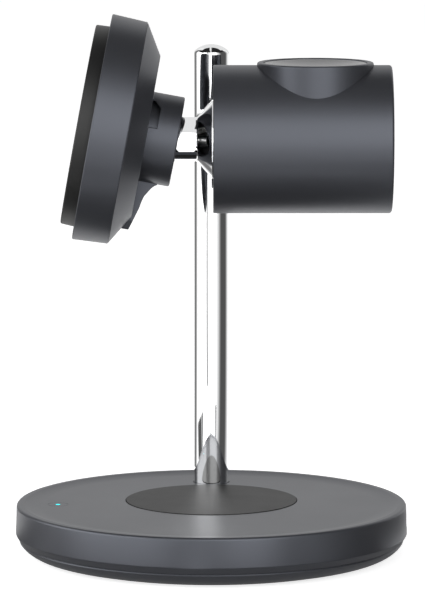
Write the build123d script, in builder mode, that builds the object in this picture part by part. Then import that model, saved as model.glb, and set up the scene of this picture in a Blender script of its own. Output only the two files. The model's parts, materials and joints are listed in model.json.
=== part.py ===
from build123d import *
import os
from math import cos, radians, sin, sqrt, tan

# Magnetic charging stand with three places, in millimetres. Seen along +Y the tilting
# head is on the left, the drum on the right and the post behind them. +Z is up, and the
# origin is the middle of the foot on the table.

# Fits
slip = 0.05              # radial clearance of pieces that slide together
seat_gap = 0.15          # gap left round a cover, pad or lens that drops into a recess
notch_gap = 0.3          # gap round the stub where it passes through the drum's wall
blind_spare = 0.2        # how much deeper a blind screw hole is than its screw

# Base
base_height = 14.4
wall_foot_radius = 54.3
wall_foot_height = 6.2
wall_draft = 2.0         # degrees
parting_inset = 1.1      # how far the parting line lies inside the wall's foot
parting_ledge = 1.9      # width of the housing's underside at the parting line
parting_height = 4.4
top_thickness = 2.0
lip_width = 1.9
dish_depth = 0.6
dish_run = 5.2
top_edge_radius = 0.8
lip_easing = (0.2, 0.55)  # where the dish's curve bends, as shares of its run
bevel_run = 6.0          # width of the cover's bevel
bevel_bulge = 0.8        # how far the bevel's arc stands out from its chord
cover_lift = 0.6         # how far the rubber foot holds the cover off the table
cover_thickness = 2.0
cover_lip_height = 2.0
cover_lip_width = 1.6
foot_margin = 1.7        # from the bevel to the foot
foot_width = 7.5
foot_recess = 0.8
foot_chamfer = 0.3

# Inlay pad and indicator in the base
inlay_radius = 23.8
inlay_web = 0.6          # plastic left between the inlay's recess and the post's hole
inlay_thickness = 1.15
inlay_recess = 1.0
inlay_edge = 0.1
indicator_inset = 4.3    # from the start of the dish's curve
indicator_radius = 0.65
indicator_flange_radius = 2.0
indicator_flange_height = 1.2
touch_board_length = 12.0
touch_board_width = 9.0
board_thickness = 1.2
board_corner = 1.0

# Coil under the inlay pad
base_coil_inset = 2.8    # how much smaller the coil is than the inlay
base_coil_inner = 9.0
base_coil_height = 1.2
ferrite_margin = 0.8     # how far a ferrite sheet reaches past its coil
base_ferrite_height = 0.8

# Weight, circuit board and socket
ballast_margin = 0.7
ballast_thickness = 3.0
board_gap = 2.5          # between the weight's straight edge and the board
main_board_inset = 2.3   # from the housing's inner wall
main_board_length = 27.0
main_board_width = 31.0
main_board_lift = 4.0    # height of the standoffs above the cover's floor
standoff_radius = 2.4
standoff_inset = 3.0
socket_end_inset = 6.6   # the standoffs beside the socket stay inside the round wall
chip_corner = 0.4
socket_width = 9.0
socket_height = 3.26
socket_length = 7.4
socket_wall = 0.3
socket_depth = 6.2
socket_recess = 1.6      # mouth of the socket behind the outside of the wall
tongue_width = 6.7
tongue_thickness = 0.7
tongue_length = 4.9

# Screws: shank radius, head radius, head height
small_screw = (1.0, 1.9, 1.2)
case_screw = (1.2, 2.2, 1.2)
anchor_screw = (1.9, 3.2, 1.6)
drive_radius = 0.5       # six-sided drive, as a share of the head's radius
drive_depth = 0.6        # and of the head's height
board_screw_length = 4.2
case_boss_radius = 4.0
case_pillar_radius = 3.2
case_boss_height = 2.6
case_screw_length = 9.0

# Post with its forward stub
post_radius = 5.0
post_wall = 1.2
post_inset = 9.9         # from the start of the dish's curve to the post's axis
post_rise = 23.4         # how far the post stands above the arm's axis
post_dome = 2.0
post_shoulder = 1.5
post_cap_thickness = 2.4
stub_radius = 4.6
stub_wall = 1.2
stub_fillet = 2.4
stub_end_y = 3.6
anchor_flange_length = 34.0
anchor_flange_width = 16.0
anchor_flange_thickness = 2.5
anchor_boss_radius = 7.2
anchor_floor = 1.0
anchor_screw_x = 12.5
set_screw_radius = 1.4
loom_radius = 2.8
loom_bend = 5.0
loom_start = 1.0         # how far above the anchor's floor the loom begins

# Arm hub
arm_height = 115.6
tube_radius = 6.1
tube_bore = 4.45
tube_start = -10.2
cone_start = -3.9
cone_root_fillet = 0.8
cone_radius = 11.75
cone_rim = 0.3
spigot_radius = 9.4
spigot_end = 10.1
nut_across_flats = 26.0
nut_thickness = 3.0

# Drum
drum_start = 0.45
drum_end = 49.5
drum_radius = 20.35
drum_wall = 2.0
drum_left_edge = 0.35
drum_right_edge = 0.8
drum_boss_radius = 14.0
drum_boss_end = 6.6
cap_sink = 0.15          # how far the end cap lies inside the drum's end
cap_thickness = 1.0
cap_plug_length = 3.6
cap_plug_wall = 1.6
seam_chamfer = 0.15

# Small round charging place on top of the drum
puck_x = 28.5
puck_ring_radius = 16.0
puck_ring_wall = 1.75
puck_rise = 0.85         # how far the seat ring stands above the drum
puck_ring_edge = 0.5
puck_rim_drop = 0.25
puck_dish = 1.3
puck_rim_width = 1.0
puck_rim_radius = 0.4
puck_wall = 1.2
puck_coil_inner = 6.2
puck_coil_height = 1.6
puck_magnet_radius = 5.6
puck_magnet_height = 3.2
magnet_chamfer = 0.2
puck_ferrite_height = 0.8
deck_rise = 5.9          # height of the deck's underside above the arm's axis
deck_thickness = 2.0
deck_start_gap = 0.3     # between the spigot and the deck
deck_end_gap = 0.5       # between the deck and the end cap's plug
deck_side_gap = 1.05      # between the deck's long edges and the drum's bore
deck_rib = 1.6
puck_board_half_width = 11.0
puck_board_inset = 3.0

# Tilting head: u runs out through its face, s is the distance along u from the hinge
hinge_x = -13.75
head_tilt = 10.4         # degrees
hub_radius = 12.45
hub_bore = 8.6
hub_rear = -4.4
hub_edge = 0.5
back_face = 4.3
back_radius = 22.4
back_wall = 2.0
ring_rear = 9.4
ring_front = 19.3
ring_rear_radius = 30.9
ring_front_radius = 31.4
ring_wall = 2.0
ring_lip = 2.0
ring_front_chamfer = 0.35
cover_spigot = 2.0
cover_spigot_wall = 1.2
cover_spigot_root = 0.6
back_wall_run = 1.0      # how far inside the back's edge the inner wall starts to slope
pad_root_radius = 28.0
pad_front_radius = 27.7
pad_front = 23.2
pad_edge = 0.5
pad_wall = 1.2
pad_flange = 0.7
pad_flange_thickness = 1.4

# Fin under the hub and the pocket in the hub's sides, as (distance from axis, s)
fin_width = 5.0
fin_curve = [(-12.5, -1.05), (-15.55, 1.5), (-17.4, 2.2), (-19.9, 2.7)]
fin_directions = [(-0.35, 0.94), (-0.96, 0.28)]
fin_tip = [(-26.1, 4.5), (-26.1, 6.7)]
fin_toe_start = -23.2    # below this the fin's sides slope inwards
fin_toe_slope = 22.0     # degrees
fin_root = [(-25.8, 7.6), (-22.0, 5.4), (-11.2, 5.4), (-11.2, -1.05)]
pocket_outline = [(2.4, 1.6), (7.9, 1.6), (10.7, 4.25), (2.4, 4.25)]
pocket_floor_radius = 10.1
pocket_inner_y = 5.0

# Coil module in the head
magnet_count = 16
magnet_gap = 1.6         # degrees between neighbours
magnet_inner = 22.8
magnet_height = 2.2
yoke_thickness = 0.6
head_coil_outer = 17.8
head_coil_inner = 8.0
head_coil_height = 1.4
head_ferrite_margin = 0.3
module_plate_thickness = 1.4
head_board_radius = 16.5
head_board_standoff = 2.2
head_post_distance = 13.5
head_post_radius = 2.0
head_boss_distance = 20.45
head_boss_radius = 2.8
head_screw_length = 6.0

# Friction hinge inside the hub
knuckle_radius = 6.0
knuckle_half_width = 4.0
knuckle_spigot_end = -5.2
pin_radius = 2.0
pin_head_radius = 3.0
pin_head_height = 1.1
washer_radius = 3.2
washer_thickness = 0.4
cheek_thickness = 2.0
cheek_end_radius = 3.0
cheek_half_width = 5.0
bracket_thickness = 1.6
bracket_half_x = 8.0
bracket_half_y = 16.5
bracket_corner = 2.0
bracket_screw_x = 5.0
bracket_screw_y = 13.4
bracket_screw_length = 2.8

# Worked out from the sizes above
dish_height = base_height - dish_depth
plate_under = dish_height - top_thickness
wall_top_radius = wall_foot_radius - tan(radians(wall_draft)) * (base_height - wall_foot_height)
parting_radius = wall_foot_radius - parting_inset
cavity_radius = parting_radius - parting_ledge
cover_flat_radius = parting_radius - bevel_run
foot_outer_radius = cover_flat_radius - foot_margin
foot_inner_radius = foot_outer_radius - foot_width
screw_distance = (foot_inner_radius + foot_outer_radius) / 2
ballast_radius = cover_flat_radius - ballast_margin
lip_inner_radius = wall_top_radius - lip_width
dish_radius = lip_inner_radius - dish_run
post_y = dish_radius - post_inset
post_top = arm_height + post_rise
inlay_offset = post_y - post_radius - inlay_web - inlay_radius - 2 * seat_gap
indicator_x = indicator_inset - dish_radius
base_coil_outer = inlay_radius - base_coil_inset
base_ferrite_radius = base_coil_outer + ferrite_margin
main_board_end = cavity_radius - main_board_inset
main_board_start = main_board_end - main_board_length
ballast_edge_x = main_board_start - board_gap
cover_floor = cover_lift + cover_thickness
foot_top = cover_lift + foot_recess
boss_top = cover_floor + case_boss_height
ballast_top = cover_floor + ballast_thickness
board_under = cover_floor + main_board_lift
board_top = board_under + board_thickness
socket_axis = board_top + socket_height / 2
socket_mouth = wall_foot_radius - socket_recess
coil_under = plate_under - base_coil_height
anchor_seat = ballast_top + anchor_floor
case_screw_seat = foot_top + seat_gap + case_screw[2]
case_hole_depth = case_screw_seat + case_screw_length + blind_spare - boss_top
stub_bore = stub_radius - stub_wall
post_bore = post_radius - post_wall
drum_bore = drum_radius - drum_wall
cap_inner = drum_end - cap_sink - cap_thickness
puck_radius = puck_ring_radius - puck_ring_wall - slip
puck_top = arm_height + drum_radius + puck_rise
puck_rim = puck_top - puck_rim_drop
puck_ceiling = puck_rim - puck_dish - puck_wall
puck_cavity_radius = puck_radius - puck_wall
deck_height = arm_height + deck_rise
deck_top = deck_height + deck_thickness
deck_half_width = sqrt(drum_bore ** 2 - (deck_top - arm_height) ** 2) - deck_side_gap
deck_start = spigot_end + deck_start_gap
deck_end = cap_inner - cap_plug_length - deck_end_gap
ring_bore = ring_rear_radius - ring_wall
pad_lip = ring_front - ring_lip
pad_ceiling = pad_front - pad_wall
pad_cavity_radius = pad_front_radius - pad_wall
back_floor = back_face + back_wall
yoke_front = pad_ceiling - magnet_height
plate_front = yoke_front - yoke_thickness
plate_rear = plate_front - module_plate_thickness
head_board_front = plate_rear - head_board_standoff
head_ferrite_radius = head_coil_outer + head_ferrite_margin
cheek_inner = knuckle_half_width + washer_thickness + 2 * slip
cheek_outer = cheek_inner + cheek_thickness

# Planes and axes of the arm, the base screws and the head
arm_axis = Axis((0, 0, arm_height), (1, 0, 0))
arm_plane = Plane(origin=(0, 0, arm_height), x_dir=(1, 0, 0), z_dir=(0, -1, 0))
u = Vector(-cos(radians(head_tilt)), 0, sin(radians(head_tilt)))
v = Vector(sin(radians(head_tilt)), 0, cos(radians(head_tilt)))
hinge = Vector(hinge_x, 0, arm_height)
head_axis = Axis(hinge, u)
head_section = Plane(origin=hinge, x_dir=v, z_dir=(0, -1, 0))


def head_plane(s):
    """Plane across the head's axis at distance s: its x points up the head, its y along +Y."""
    return Plane(origin=hinge + u * s, x_dir=v, z_dir=u)


def side_plane(x):
    """Plane across the arm's axis at x: its x points along +Y and its y up."""
    return Plane(origin=(x, 0, arm_height), x_dir=(0, 1, 0), z_dir=(1, 0, 0))


def near(a, b):
    return abs(a - b) < 0.01


def cap_depth(edge_radius, height, radius):
    """Depth below the crown, at a radius, of a round cap of a given height and edge radius."""
    ball = (edge_radius ** 2 + height ** 2) / (2 * height)
    return ball - sqrt(ball ** 2 - radius ** 2)


def ring_between(plane, outer, inner, height):
    """Flat ring standing on a plane."""
    with BuildPart() as ring:
        with BuildSketch(plane):
            Circle(outer)
            Circle(inner, mode=Mode.SUBTRACT)
        extrude(amount=height)
    return ring.part


def screws(planes, size, length):
    """One screw on each plane: the head rises along the normal and the shank goes down."""
    shank, head, head_height = size
    with BuildPart() as group:
        for plane in planes:
            with BuildSketch(plane):
                Circle(head)
            extrude(amount=head_height)
            with BuildSketch(plane):
                Circle(shank)
            extrude(amount=-length)
            with BuildSketch(plane.offset(head_height)):
                RegularPolygon(head * drive_radius, 6)
            extrude(amount=-head_height * drive_depth, mode=Mode.SUBTRACT)
    return group.part


def polar_points(radius, count, start):
    """Points spaced evenly on a circle, as (x, y)."""
    step = 360 / count
    return [
        (radius * cos(radians(start + step * n)), radius * sin(radians(start + step * n)))
        for n in range(count)
    ]


case_points = polar_points(screw_distance, 4, 45)
board_points = [
    (x, y)
    for x in (main_board_start + standoff_inset, main_board_end - socket_end_inset)
    for y in (-main_board_width / 2 + standoff_inset, main_board_width / 2 - standoff_inset)
]

os.makedirs("parts", exist_ok=True)

# Base housing: wall, lip and dished top in one moulding
with BuildPart() as base_housing:
    with BuildSketch(Plane.XZ):
        with BuildLine():
            Polyline(
                (0, dish_height), (0, plate_under), (cavity_radius, plate_under),
                (cavity_radius, parting_height), (parting_radius, parting_height),
                (wall_foot_radius, wall_foot_height), (wall_top_radius, base_height),
                (lip_inner_radius, base_height),
            )
            Bezier(
                (lip_inner_radius, base_height),
                (lip_inner_radius - dish_run * lip_easing[0], dish_height + dish_depth * lip_easing[1]),
                (lip_inner_radius - dish_run * lip_easing[1], dish_height),
                (dish_radius, dish_height),
            )
            Line((dish_radius, dish_height), (0, dish_height))
        make_face()
    revolve(axis=Axis.Z)
    top_edges = base_housing.edges().filter_by(lambda e: near(e.center().Z, base_height))
    fillet(top_edges.sort_by(SortBy.LENGTH)[-1], top_edge_radius)
    with BuildSketch(Plane.XY.offset(boss_top)):
        with Locations(*case_points):
            Circle(case_pillar_radius)
    extrude(until=Until.NEXT)
    with BuildSketch(Plane.XY.offset(boss_top)):
        with Locations(*case_points):
            Circle(case_screw[0] + slip)
    extrude(amount=case_hole_depth, mode=Mode.SUBTRACT)
    with BuildSketch(Plane.XY.offset(dish_height)):
        with Locations((0, inlay_offset)):
            Circle(inlay_radius + seat_gap)
    extrude(amount=-inlay_recess, mode=Mode.SUBTRACT)
    with BuildSketch(Plane.XY.offset(dish_height)):
        with Locations((0, post_y)):
            Circle(post_radius + seat_gap)
        with Locations((indicator_x, 0)):
            Circle(indicator_radius + slip)
    extrude(amount=-top_thickness, mode=Mode.SUBTRACT)
    with BuildSketch(Plane.YZ.offset(main_board_end)):
        with Locations((0, socket_axis)):
            SlotOverall(socket_width + 2 * seat_gap, socket_height + 2 * seat_gap)
    extrude(amount=wall_foot_radius - main_board_end, mode=Mode.SUBTRACT)
base_housing.part.label = "base_housing"
export_step(base_housing.part, "parts/base_housing.step")

# Bottom cover: bevelled dish with a locating lip, a groove for the foot and screw bosses
bevel_end = (parting_radius, parting_height - 3 * seam_chamfer)
with BuildPart() as base_bottom_cover:
    with BuildSketch(Plane.XZ):
        with BuildLine():
            Line((0, cover_lift), (cover_flat_radius, cover_lift))
            SagittaArc((cover_flat_radius, cover_lift), bevel_end, -bevel_bulge)
            Polyline(
                bevel_end, (parting_radius - 2 * seam_chamfer, parting_height),
                (cavity_radius - slip, parting_height),
                (cavity_radius - slip, parting_height + cover_lip_height),
                (cavity_radius - slip - cover_lip_width, parting_height + cover_lip_height),
                (cavity_radius - slip - cover_lip_width, parting_height),
                (cover_flat_radius, cover_floor), (0, cover_floor), (0, cover_lift),
            )
        make_face()
    revolve(axis=Axis.Z)
    with BuildSketch(Plane.XY.offset(cover_lift)):
        Circle(foot_outer_radius + slip)
        Circle(foot_inner_radius - slip, mode=Mode.SUBTRACT)
    extrude(amount=foot_recess, mode=Mode.SUBTRACT)
    with BuildSketch(Plane.XY.offset(cover_floor)):
        with Locations(*case_points):
            Circle(case_boss_radius)
    extrude(amount=case_boss_height)
    with BuildSketch(Plane.XY.offset(foot_top)):
        with Locations(*case_points):
            Circle(case_screw[1] + seat_gap)
    extrude(amount=case_screw[2] + seat_gap, mode=Mode.SUBTRACT)
    with BuildSketch(Plane.XY.offset(foot_top)):
        with Locations(*case_points):
            Circle(case_screw[0] + seat_gap)
    extrude(amount=boss_top - foot_top, mode=Mode.SUBTRACT)
    with BuildSketch(Plane.XY.offset(cover_floor)):
        with Locations(*board_points):
            Circle(standoff_radius)
    extrude(amount=main_board_lift)
    with BuildSketch(Plane.XY.offset(board_under)):
        with Locations(*board_points):
            Circle(small_screw[0] + slip)
    extrude(amount=-main_board_lift, mode=Mode.SUBTRACT)
base_bottom_cover.part.label = "base_bottom_cover"
export_step(base_bottom_cover.part, "parts/base_bottom_cover.step")

# Rubber foot ring in the cover's groove
with BuildPart() as foot_ring:
    with BuildSketch():
        Circle(foot_outer_radius)
        Circle(foot_inner_radius, mode=Mode.SUBTRACT)
    extrude(amount=foot_top)
    chamfer(foot_ring.faces().sort_by(Axis.Z)[0].edges(), foot_chamfer)
foot_ring.part.label = "foot_ring"
export_step(foot_ring.part, "parts/foot_ring.step")

# Four screws under the foot ring
case_screws = screws(
    [Plane(origin=(x, y, case_screw_seat), z_dir=(0, 0, -1)) for x, y in case_points],
    case_screw, case_screw_length,
)
case_screws.label = "case_screws"
export_step(case_screws, "parts/case_screws.step")

# Steel weight with clearance for the screw bosses
with BuildPart() as ballast_plate:
    with BuildSketch(Plane.XY.offset(cover_floor)):
        Circle(ballast_radius)
        with Locations((ballast_edge_x, 0)):
            Rectangle(2 * ballast_radius, 2 * ballast_radius, align=(Align.MIN, Align.CENTER),
                      mode=Mode.SUBTRACT)
        with Locations(*case_points):
            Circle(case_boss_radius + seat_gap, mode=Mode.SUBTRACT)
        with Locations((-anchor_screw_x, post_y), (anchor_screw_x, post_y)):
            Circle(anchor_screw[0] + slip, mode=Mode.SUBTRACT)
    extrude(amount=ballast_thickness)
ballast_plate.part.label = "ballast_plate"
export_step(ballast_plate.part, "parts/ballast_plate.step")

# Soft inlay pad
with BuildPart() as inlay_pad:
    with BuildSketch(Plane.XY.offset(dish_height - inlay_recess)):
        with Locations((0, inlay_offset)):
            Circle(inlay_radius)
    extrude(amount=inlay_thickness)
    fillet(inlay_pad.faces().sort_by(Axis.Z)[-1].edges(), inlay_edge)
inlay_pad.part.label = "inlay_pad"
export_step(inlay_pad.part, "parts/inlay_pad.step")

# Coil and ferrite sheet under the pad
coil_centre = (0, inlay_offset, plate_under)
base_coil = ring_between(
    Plane(origin=coil_centre, z_dir=(0, 0, -1)), base_coil_outer, base_coil_inner, base_coil_height
)
base_coil.label = "base_coil"
export_step(base_coil, "parts/base_coil.step")

with BuildPart() as base_ferrite:
    with BuildSketch(Plane.XY.offset(coil_under)):
        with Locations((0, inlay_offset)):
            Circle(base_ferrite_radius)
    extrude(amount=-base_ferrite_height)
base_ferrite.part.label = "base_ferrite"
export_step(base_ferrite.part, "parts/base_ferrite.step")

# Main circuit board on its standoffs
board_middle = (main_board_start + main_board_end) / 2
with BuildPart() as main_board:
    with BuildSketch(Plane.XY.offset(board_under)):
        with Locations((board_middle, 0)):
            Rectangle(main_board_end - main_board_start, main_board_width)
        Circle(cavity_radius - cover_lip_width, mode=Mode.INTERSECT)
        with Locations(*board_points):
            Circle(small_screw[0] + slip, mode=Mode.SUBTRACT)
    extrude(amount=board_thickness)
main_board.part.label = "main_board"
export_step(main_board.part, "parts/main_board.step")

# Chips and chokes: x from the board's inner end, y, length, width, height
board_part_sizes = [
    (9.0, 0.0, 7.0, 7.0, 0.9),
    (11.0, 9.2, 6.6, 6.6, 2.8),
    (11.0, -9.2, 6.6, 6.6, 2.8),
    (17.6, 7.4, 3.2, 5.0, 1.4),
    (17.6, -7.4, 3.2, 5.0, 1.4),
    (3.2, 4.0, 3.0, 4.4, 1.0),
    (3.2, -4.0, 3.0, 4.4, 1.0),
]
with BuildPart() as board_parts:
    for x, y, length, width, height in board_part_sizes:
        with BuildSketch(Plane.XY.offset(board_top)):
            with Locations((main_board_start + x, y)):
                RectangleRounded(length, width, chip_corner)
        extrude(amount=height)
board_parts.part.label = "board_parts"
export_step(board_parts.part, "parts/board_parts.step")

board_screws = screws(
    [Plane(origin=(x, y, board_top)) for x, y in board_points], small_screw, board_screw_length
)
board_screws.label = "board_screws"
export_step(board_screws, "parts/board_screws.step")

# Socket for the charging lead
with BuildPart() as usb_c_inlet:
    with BuildSketch(Plane.YZ.offset(socket_mouth)):
        with Locations((0, socket_axis)):
            SlotOverall(socket_width, socket_height)
    extrude(amount=-socket_length)
    with BuildSketch(Plane.YZ.offset(socket_mouth)):
        with Locations((0, socket_axis)):
            SlotOverall(socket_width - 2 * socket_wall, socket_height - 2 * socket_wall)
    extrude(amount=-socket_depth, mode=Mode.SUBTRACT)
    with BuildSketch(Plane.YZ.offset(socket_mouth - socket_depth)):
        with Locations((0, socket_axis)):
            Rectangle(tongue_width, tongue_thickness)
    extrude(amount=tongue_length)
usb_c_inlet.part.label = "usb_c_inlet"
export_step(usb_c_inlet.part, "parts/usb_c_inlet.step")

# Light pipe of the indicator, with the touch board below it
with BuildPart() as indicator_lens:
    with BuildSketch(Plane.XY.offset(plate_under)):
        with Locations((indicator_x, 0)):
            Circle(indicator_radius)
    extrude(amount=top_thickness + slip)
    with BuildSketch(Plane.XY.offset(plate_under)):
        with Locations((indicator_x, 0)):
            Circle(indicator_flange_radius)
    extrude(amount=-indicator_flange_height)
indicator_lens.part.label = "indicator_lens"
export_step(indicator_lens.part, "parts/indicator_lens.step")

with BuildPart() as touch_board:
    with BuildSketch(Plane.XY.offset(plate_under - indicator_flange_height)):
        with Locations((indicator_x, 0)):
            RectangleRounded(touch_board_length, touch_board_width, board_corner)
    extrude(amount=-board_thickness)
touch_board.part.label = "touch_board"
export_step(touch_board.part, "parts/touch_board.step")

# Post anchor: a cast block on the weight that grips the post's foot
with BuildPart() as post_anchor:
    with BuildSketch(Plane.XY.offset(ballast_top)):
        with Locations((0, post_y)):
            SlotOverall(anchor_flange_length, anchor_flange_width)
    extrude(amount=anchor_flange_thickness)
    with BuildSketch(Plane.XY.offset(ballast_top)):
        with Locations((0, post_y)):
            Circle(anchor_boss_radius)
    extrude(amount=plate_under - ballast_top)
    with BuildSketch(Plane.XY.offset(anchor_seat)):
        with Locations((0, post_y)):
            Circle(post_radius + slip)
    extrude(amount=plate_under - anchor_seat, mode=Mode.SUBTRACT)
    with BuildSketch(Plane.XY.offset(ballast_top)):
        with Locations((0, post_y)):
            Circle(loom_radius + seat_gap)
        with Locations((-anchor_screw_x, post_y), (anchor_screw_x, post_y)):
            Circle(anchor_screw[0] + slip)
    extrude(amount=anchor_flange_thickness, mode=Mode.SUBTRACT)
    with BuildSketch(Plane.YZ.offset(-anchor_boss_radius)):
        with Locations((post_y, (plate_under + ballast_top + anchor_flange_thickness) / 2)):
            Circle(set_screw_radius + slip)
    extrude(amount=2 * anchor_boss_radius, mode=Mode.SUBTRACT)
post_anchor.part.label = "post_anchor"
export_step(post_anchor.part, "parts/post_anchor.step")

anchor_screws = screws(
    [Plane(origin=(x, post_y, ballast_top + anchor_flange_thickness))
     for x in (-anchor_screw_x, anchor_screw_x)],
    anchor_screw, anchor_flange_thickness + ballast_thickness - blind_spare,
)
anchor_screws.label = "anchor_screws"
export_step(anchor_screws, "parts/anchor_screws.step")

with BuildPart() as post_set_screws:
    for side in (-1, 1):
        with BuildSketch(Plane.YZ.offset(side * (post_radius + slip))):
            with Locations((post_y, (plate_under + ballast_top + anchor_flange_thickness) / 2)):
                Circle(set_screw_radius)
        extrude(amount=side * (anchor_boss_radius - post_radius - 2 * slip))
post_set_screws.part.label = "post_set_screws"
export_step(post_set_screws.part, "parts/post_set_screws.step")

# Post: domed tube with the stub that carries the arm, brazed and polished as one piece
with BuildPart() as post:
    with BuildSketch(Plane.XZ.offset(-post_y)):
        with BuildLine():
            Polyline((0, anchor_seat), (post_radius, anchor_seat),
                     (post_radius, post_top - post_dome))
            ThreePointArc(
                (post_radius, post_top - post_dome),
                (post_radius / 2, post_top - cap_depth(post_radius, post_dome, post_radius / 2)),
                (0, post_top),
            )
            Line((0, post_top), (0, anchor_seat))
        make_face()
    revolve(axis=Axis((0, post_y, 0), (0, 0, 1)))
    shoulder = post.edges().filter_by(
        lambda e: near(e.center().Z, post_top - post_dome) and e.length > 6 * post_bore
    )
    fillet(shoulder, post_shoulder)
    with BuildSketch(Plane.XZ.offset(-post_y)):
        with Locations((0, arm_height)):
            Circle(stub_radius)
    extrude(amount=post_y - stub_end_y)
    joint_edges = post.edges().filter_by(
        lambda e: abs(e.center().Z - arm_height) < stub_radius
        and post_y - 2 * post_radius < e.center().Y < post_y
        and e.geom_type != GeomType.CIRCLE and e.geom_type != GeomType.LINE
    )
    fillet(joint_edges, stub_fillet)
    with BuildSketch(Plane.XY.offset(anchor_seat)):
        with Locations((0, post_y)):
            Circle(post_bore)
    extrude(amount=post_top - post_cap_thickness - anchor_seat, mode=Mode.SUBTRACT)
    with BuildSketch(Plane.XZ.offset(-post_y)):
        with Locations((0, arm_height)):
            Circle(stub_bore)
    extrude(amount=post_y, mode=Mode.SUBTRACT)
post.part.label = "post"
export_step(post.part, "parts/post.step")

# Wires up the post and along the stub
with BuildPart() as wire_loom:
    with BuildLine():
        FilletPolyline(
            (0, post_y, anchor_seat + loom_start),
            (0, post_y, arm_height),
            (0, stub_end_y + loom_start, arm_height),
            radius=loom_bend,
        )
    with BuildSketch(Plane.XY.offset(anchor_seat + loom_start)):
        with Locations((0, post_y)):
            Circle(loom_radius)
    sweep()
wire_loom.part.label = "wire_loom"
export_step(wire_loom.part, "parts/wire_loom.step")

# Arm hub: tube, flared cone and the spigot inside the drum, turned as one piece
with BuildPart() as arm_hub:
    with BuildSketch(arm_plane):
        with BuildLine():
            Polyline(
                (tube_start, tube_bore), (tube_start, tube_radius), (cone_start, tube_radius),
                (drum_start - cone_rim, cone_radius), (drum_start, cone_radius),
                (drum_start, spigot_radius), (spigot_end, spigot_radius),
                (spigot_end, tube_bore), (tube_start, tube_bore),
            )
        make_face()
    revolve(axis=arm_axis)
    root = arm_hub.edges().filter_by(
        lambda e: near(e.center().X, cone_start) and e.geom_type == GeomType.CIRCLE
    )
    fillet(root, cone_root_fillet)
    with BuildSketch(Plane.XZ):
        with Locations((0, arm_height)):
            Circle(stub_radius + slip)
    extrude(amount=-(cone_radius + slip), mode=Mode.SUBTRACT)
arm_hub.part.label = "arm_hub"
export_step(arm_hub.part, "parts/arm_hub.step")

# Nut that clamps the drum on the spigot
with BuildPart() as hub_nut:
    with BuildSketch(side_plane(drum_boss_end)):
        RegularPolygon(nut_across_flats / 2, 6, major_radius=False)
        Circle(spigot_radius + slip, mode=Mode.SUBTRACT)
    extrude(amount=nut_thickness)
hub_nut.part.label = "hub_nut"
export_step(hub_nut.part, "parts/hub_nut.step")

# Drum shell, with the notch that the stub passes and the hole for the round seat
with BuildPart() as drum_shell:
    with BuildSketch(arm_plane):
        with BuildLine():
            Polyline(
                (drum_start, spigot_radius + slip), (drum_start, drum_radius),
                (drum_end, drum_radius), (drum_end, drum_bore + seam_chamfer),
                (drum_end - seam_chamfer, drum_bore), (drum_start + drum_wall, drum_bore),
                (drum_start + drum_wall, drum_boss_radius), (drum_boss_end, drum_boss_radius),
                (drum_boss_end, spigot_radius + slip), (drum_start, spigot_radius + slip),
            )
        make_face()
    revolve(axis=arm_axis)
    for rim_x, rim_radius in ((drum_start, drum_left_edge), (drum_end, drum_right_edge)):
        rims = drum_shell.edges().filter_by(lambda e: near(e.center().X, rim_x))
        fillet(rims.sort_by(SortBy.LENGTH)[-1], rim_radius)
    with BuildSketch(Plane.XZ):
        with Locations((0, arm_height)):
            Circle(stub_radius + notch_gap)
    extrude(amount=-2 * drum_radius, mode=Mode.SUBTRACT)
    with BuildSketch(Plane.XY.offset(deck_top)):
        with Locations((puck_x, 0)):
            Circle(puck_ring_radius + slip)
    extrude(amount=drum_radius, mode=Mode.SUBTRACT)
drum_shell.part.label = "drum_shell"
export_step(drum_shell.part, "parts/drum_shell.step")

# End cap let into the drum's end, with its plug ring
with BuildPart() as drum_end_cap:
    with BuildSketch(side_plane(cap_inner)):
        Circle(drum_bore - slip)
    extrude(amount=cap_thickness)
    chamfer(drum_end_cap.faces().sort_by(Axis.X)[-1].edges(), seam_chamfer)
    with BuildSketch(side_plane(cap_inner)):
        Circle(drum_bore - slip)
        Circle(drum_bore - slip - cap_plug_wall, mode=Mode.SUBTRACT)
    extrude(amount=-cap_plug_length)
drum_end_cap.part.label = "drum_end_cap"
export_step(drum_end_cap.part, "parts/drum_end_cap.step")

# Deck inside the drum, on two ribs that fit its bore
with BuildPart() as drum_deck:
    with BuildSketch(Plane.XY.offset(deck_height)):
        with Locations(((deck_start + deck_end) / 2, 0)):
            Rectangle(deck_end - deck_start, 2 * deck_half_width)
    extrude(amount=deck_thickness)
    for x in (deck_start, deck_end - deck_rib):
        with BuildSketch(side_plane(x)):
            Circle(drum_bore - slip)
            Circle(drum_bore - 5 * deck_rib, mode=Mode.SUBTRACT)
            with Locations((0, deck_height + deck_thickness / 2 - arm_height)):
                Rectangle(2 * drum_bore, drum_bore, align=(Align.CENTER, Align.MIN),
                          mode=Mode.SUBTRACT)
        extrude(amount=deck_rib)
drum_deck.part.label = "drum_deck"
export_step(drum_deck.part, "parts/drum_deck.step")

# Round seat ring that stands through the drum's top
with BuildPart() as puck_ring:
    with BuildSketch(Plane.XY.offset(deck_top)):
        with Locations((puck_x, 0)):
            Circle(puck_ring_radius)
            Circle(puck_ring_radius - puck_ring_wall, mode=Mode.SUBTRACT)
    extrude(amount=puck_top - deck_top)
    fillet(puck_ring.faces().sort_by(Axis.Z)[-1].edges(), puck_ring_edge)
puck_ring.part.label = "puck_ring"
export_step(puck_ring.part, "parts/puck_ring.step")

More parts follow.
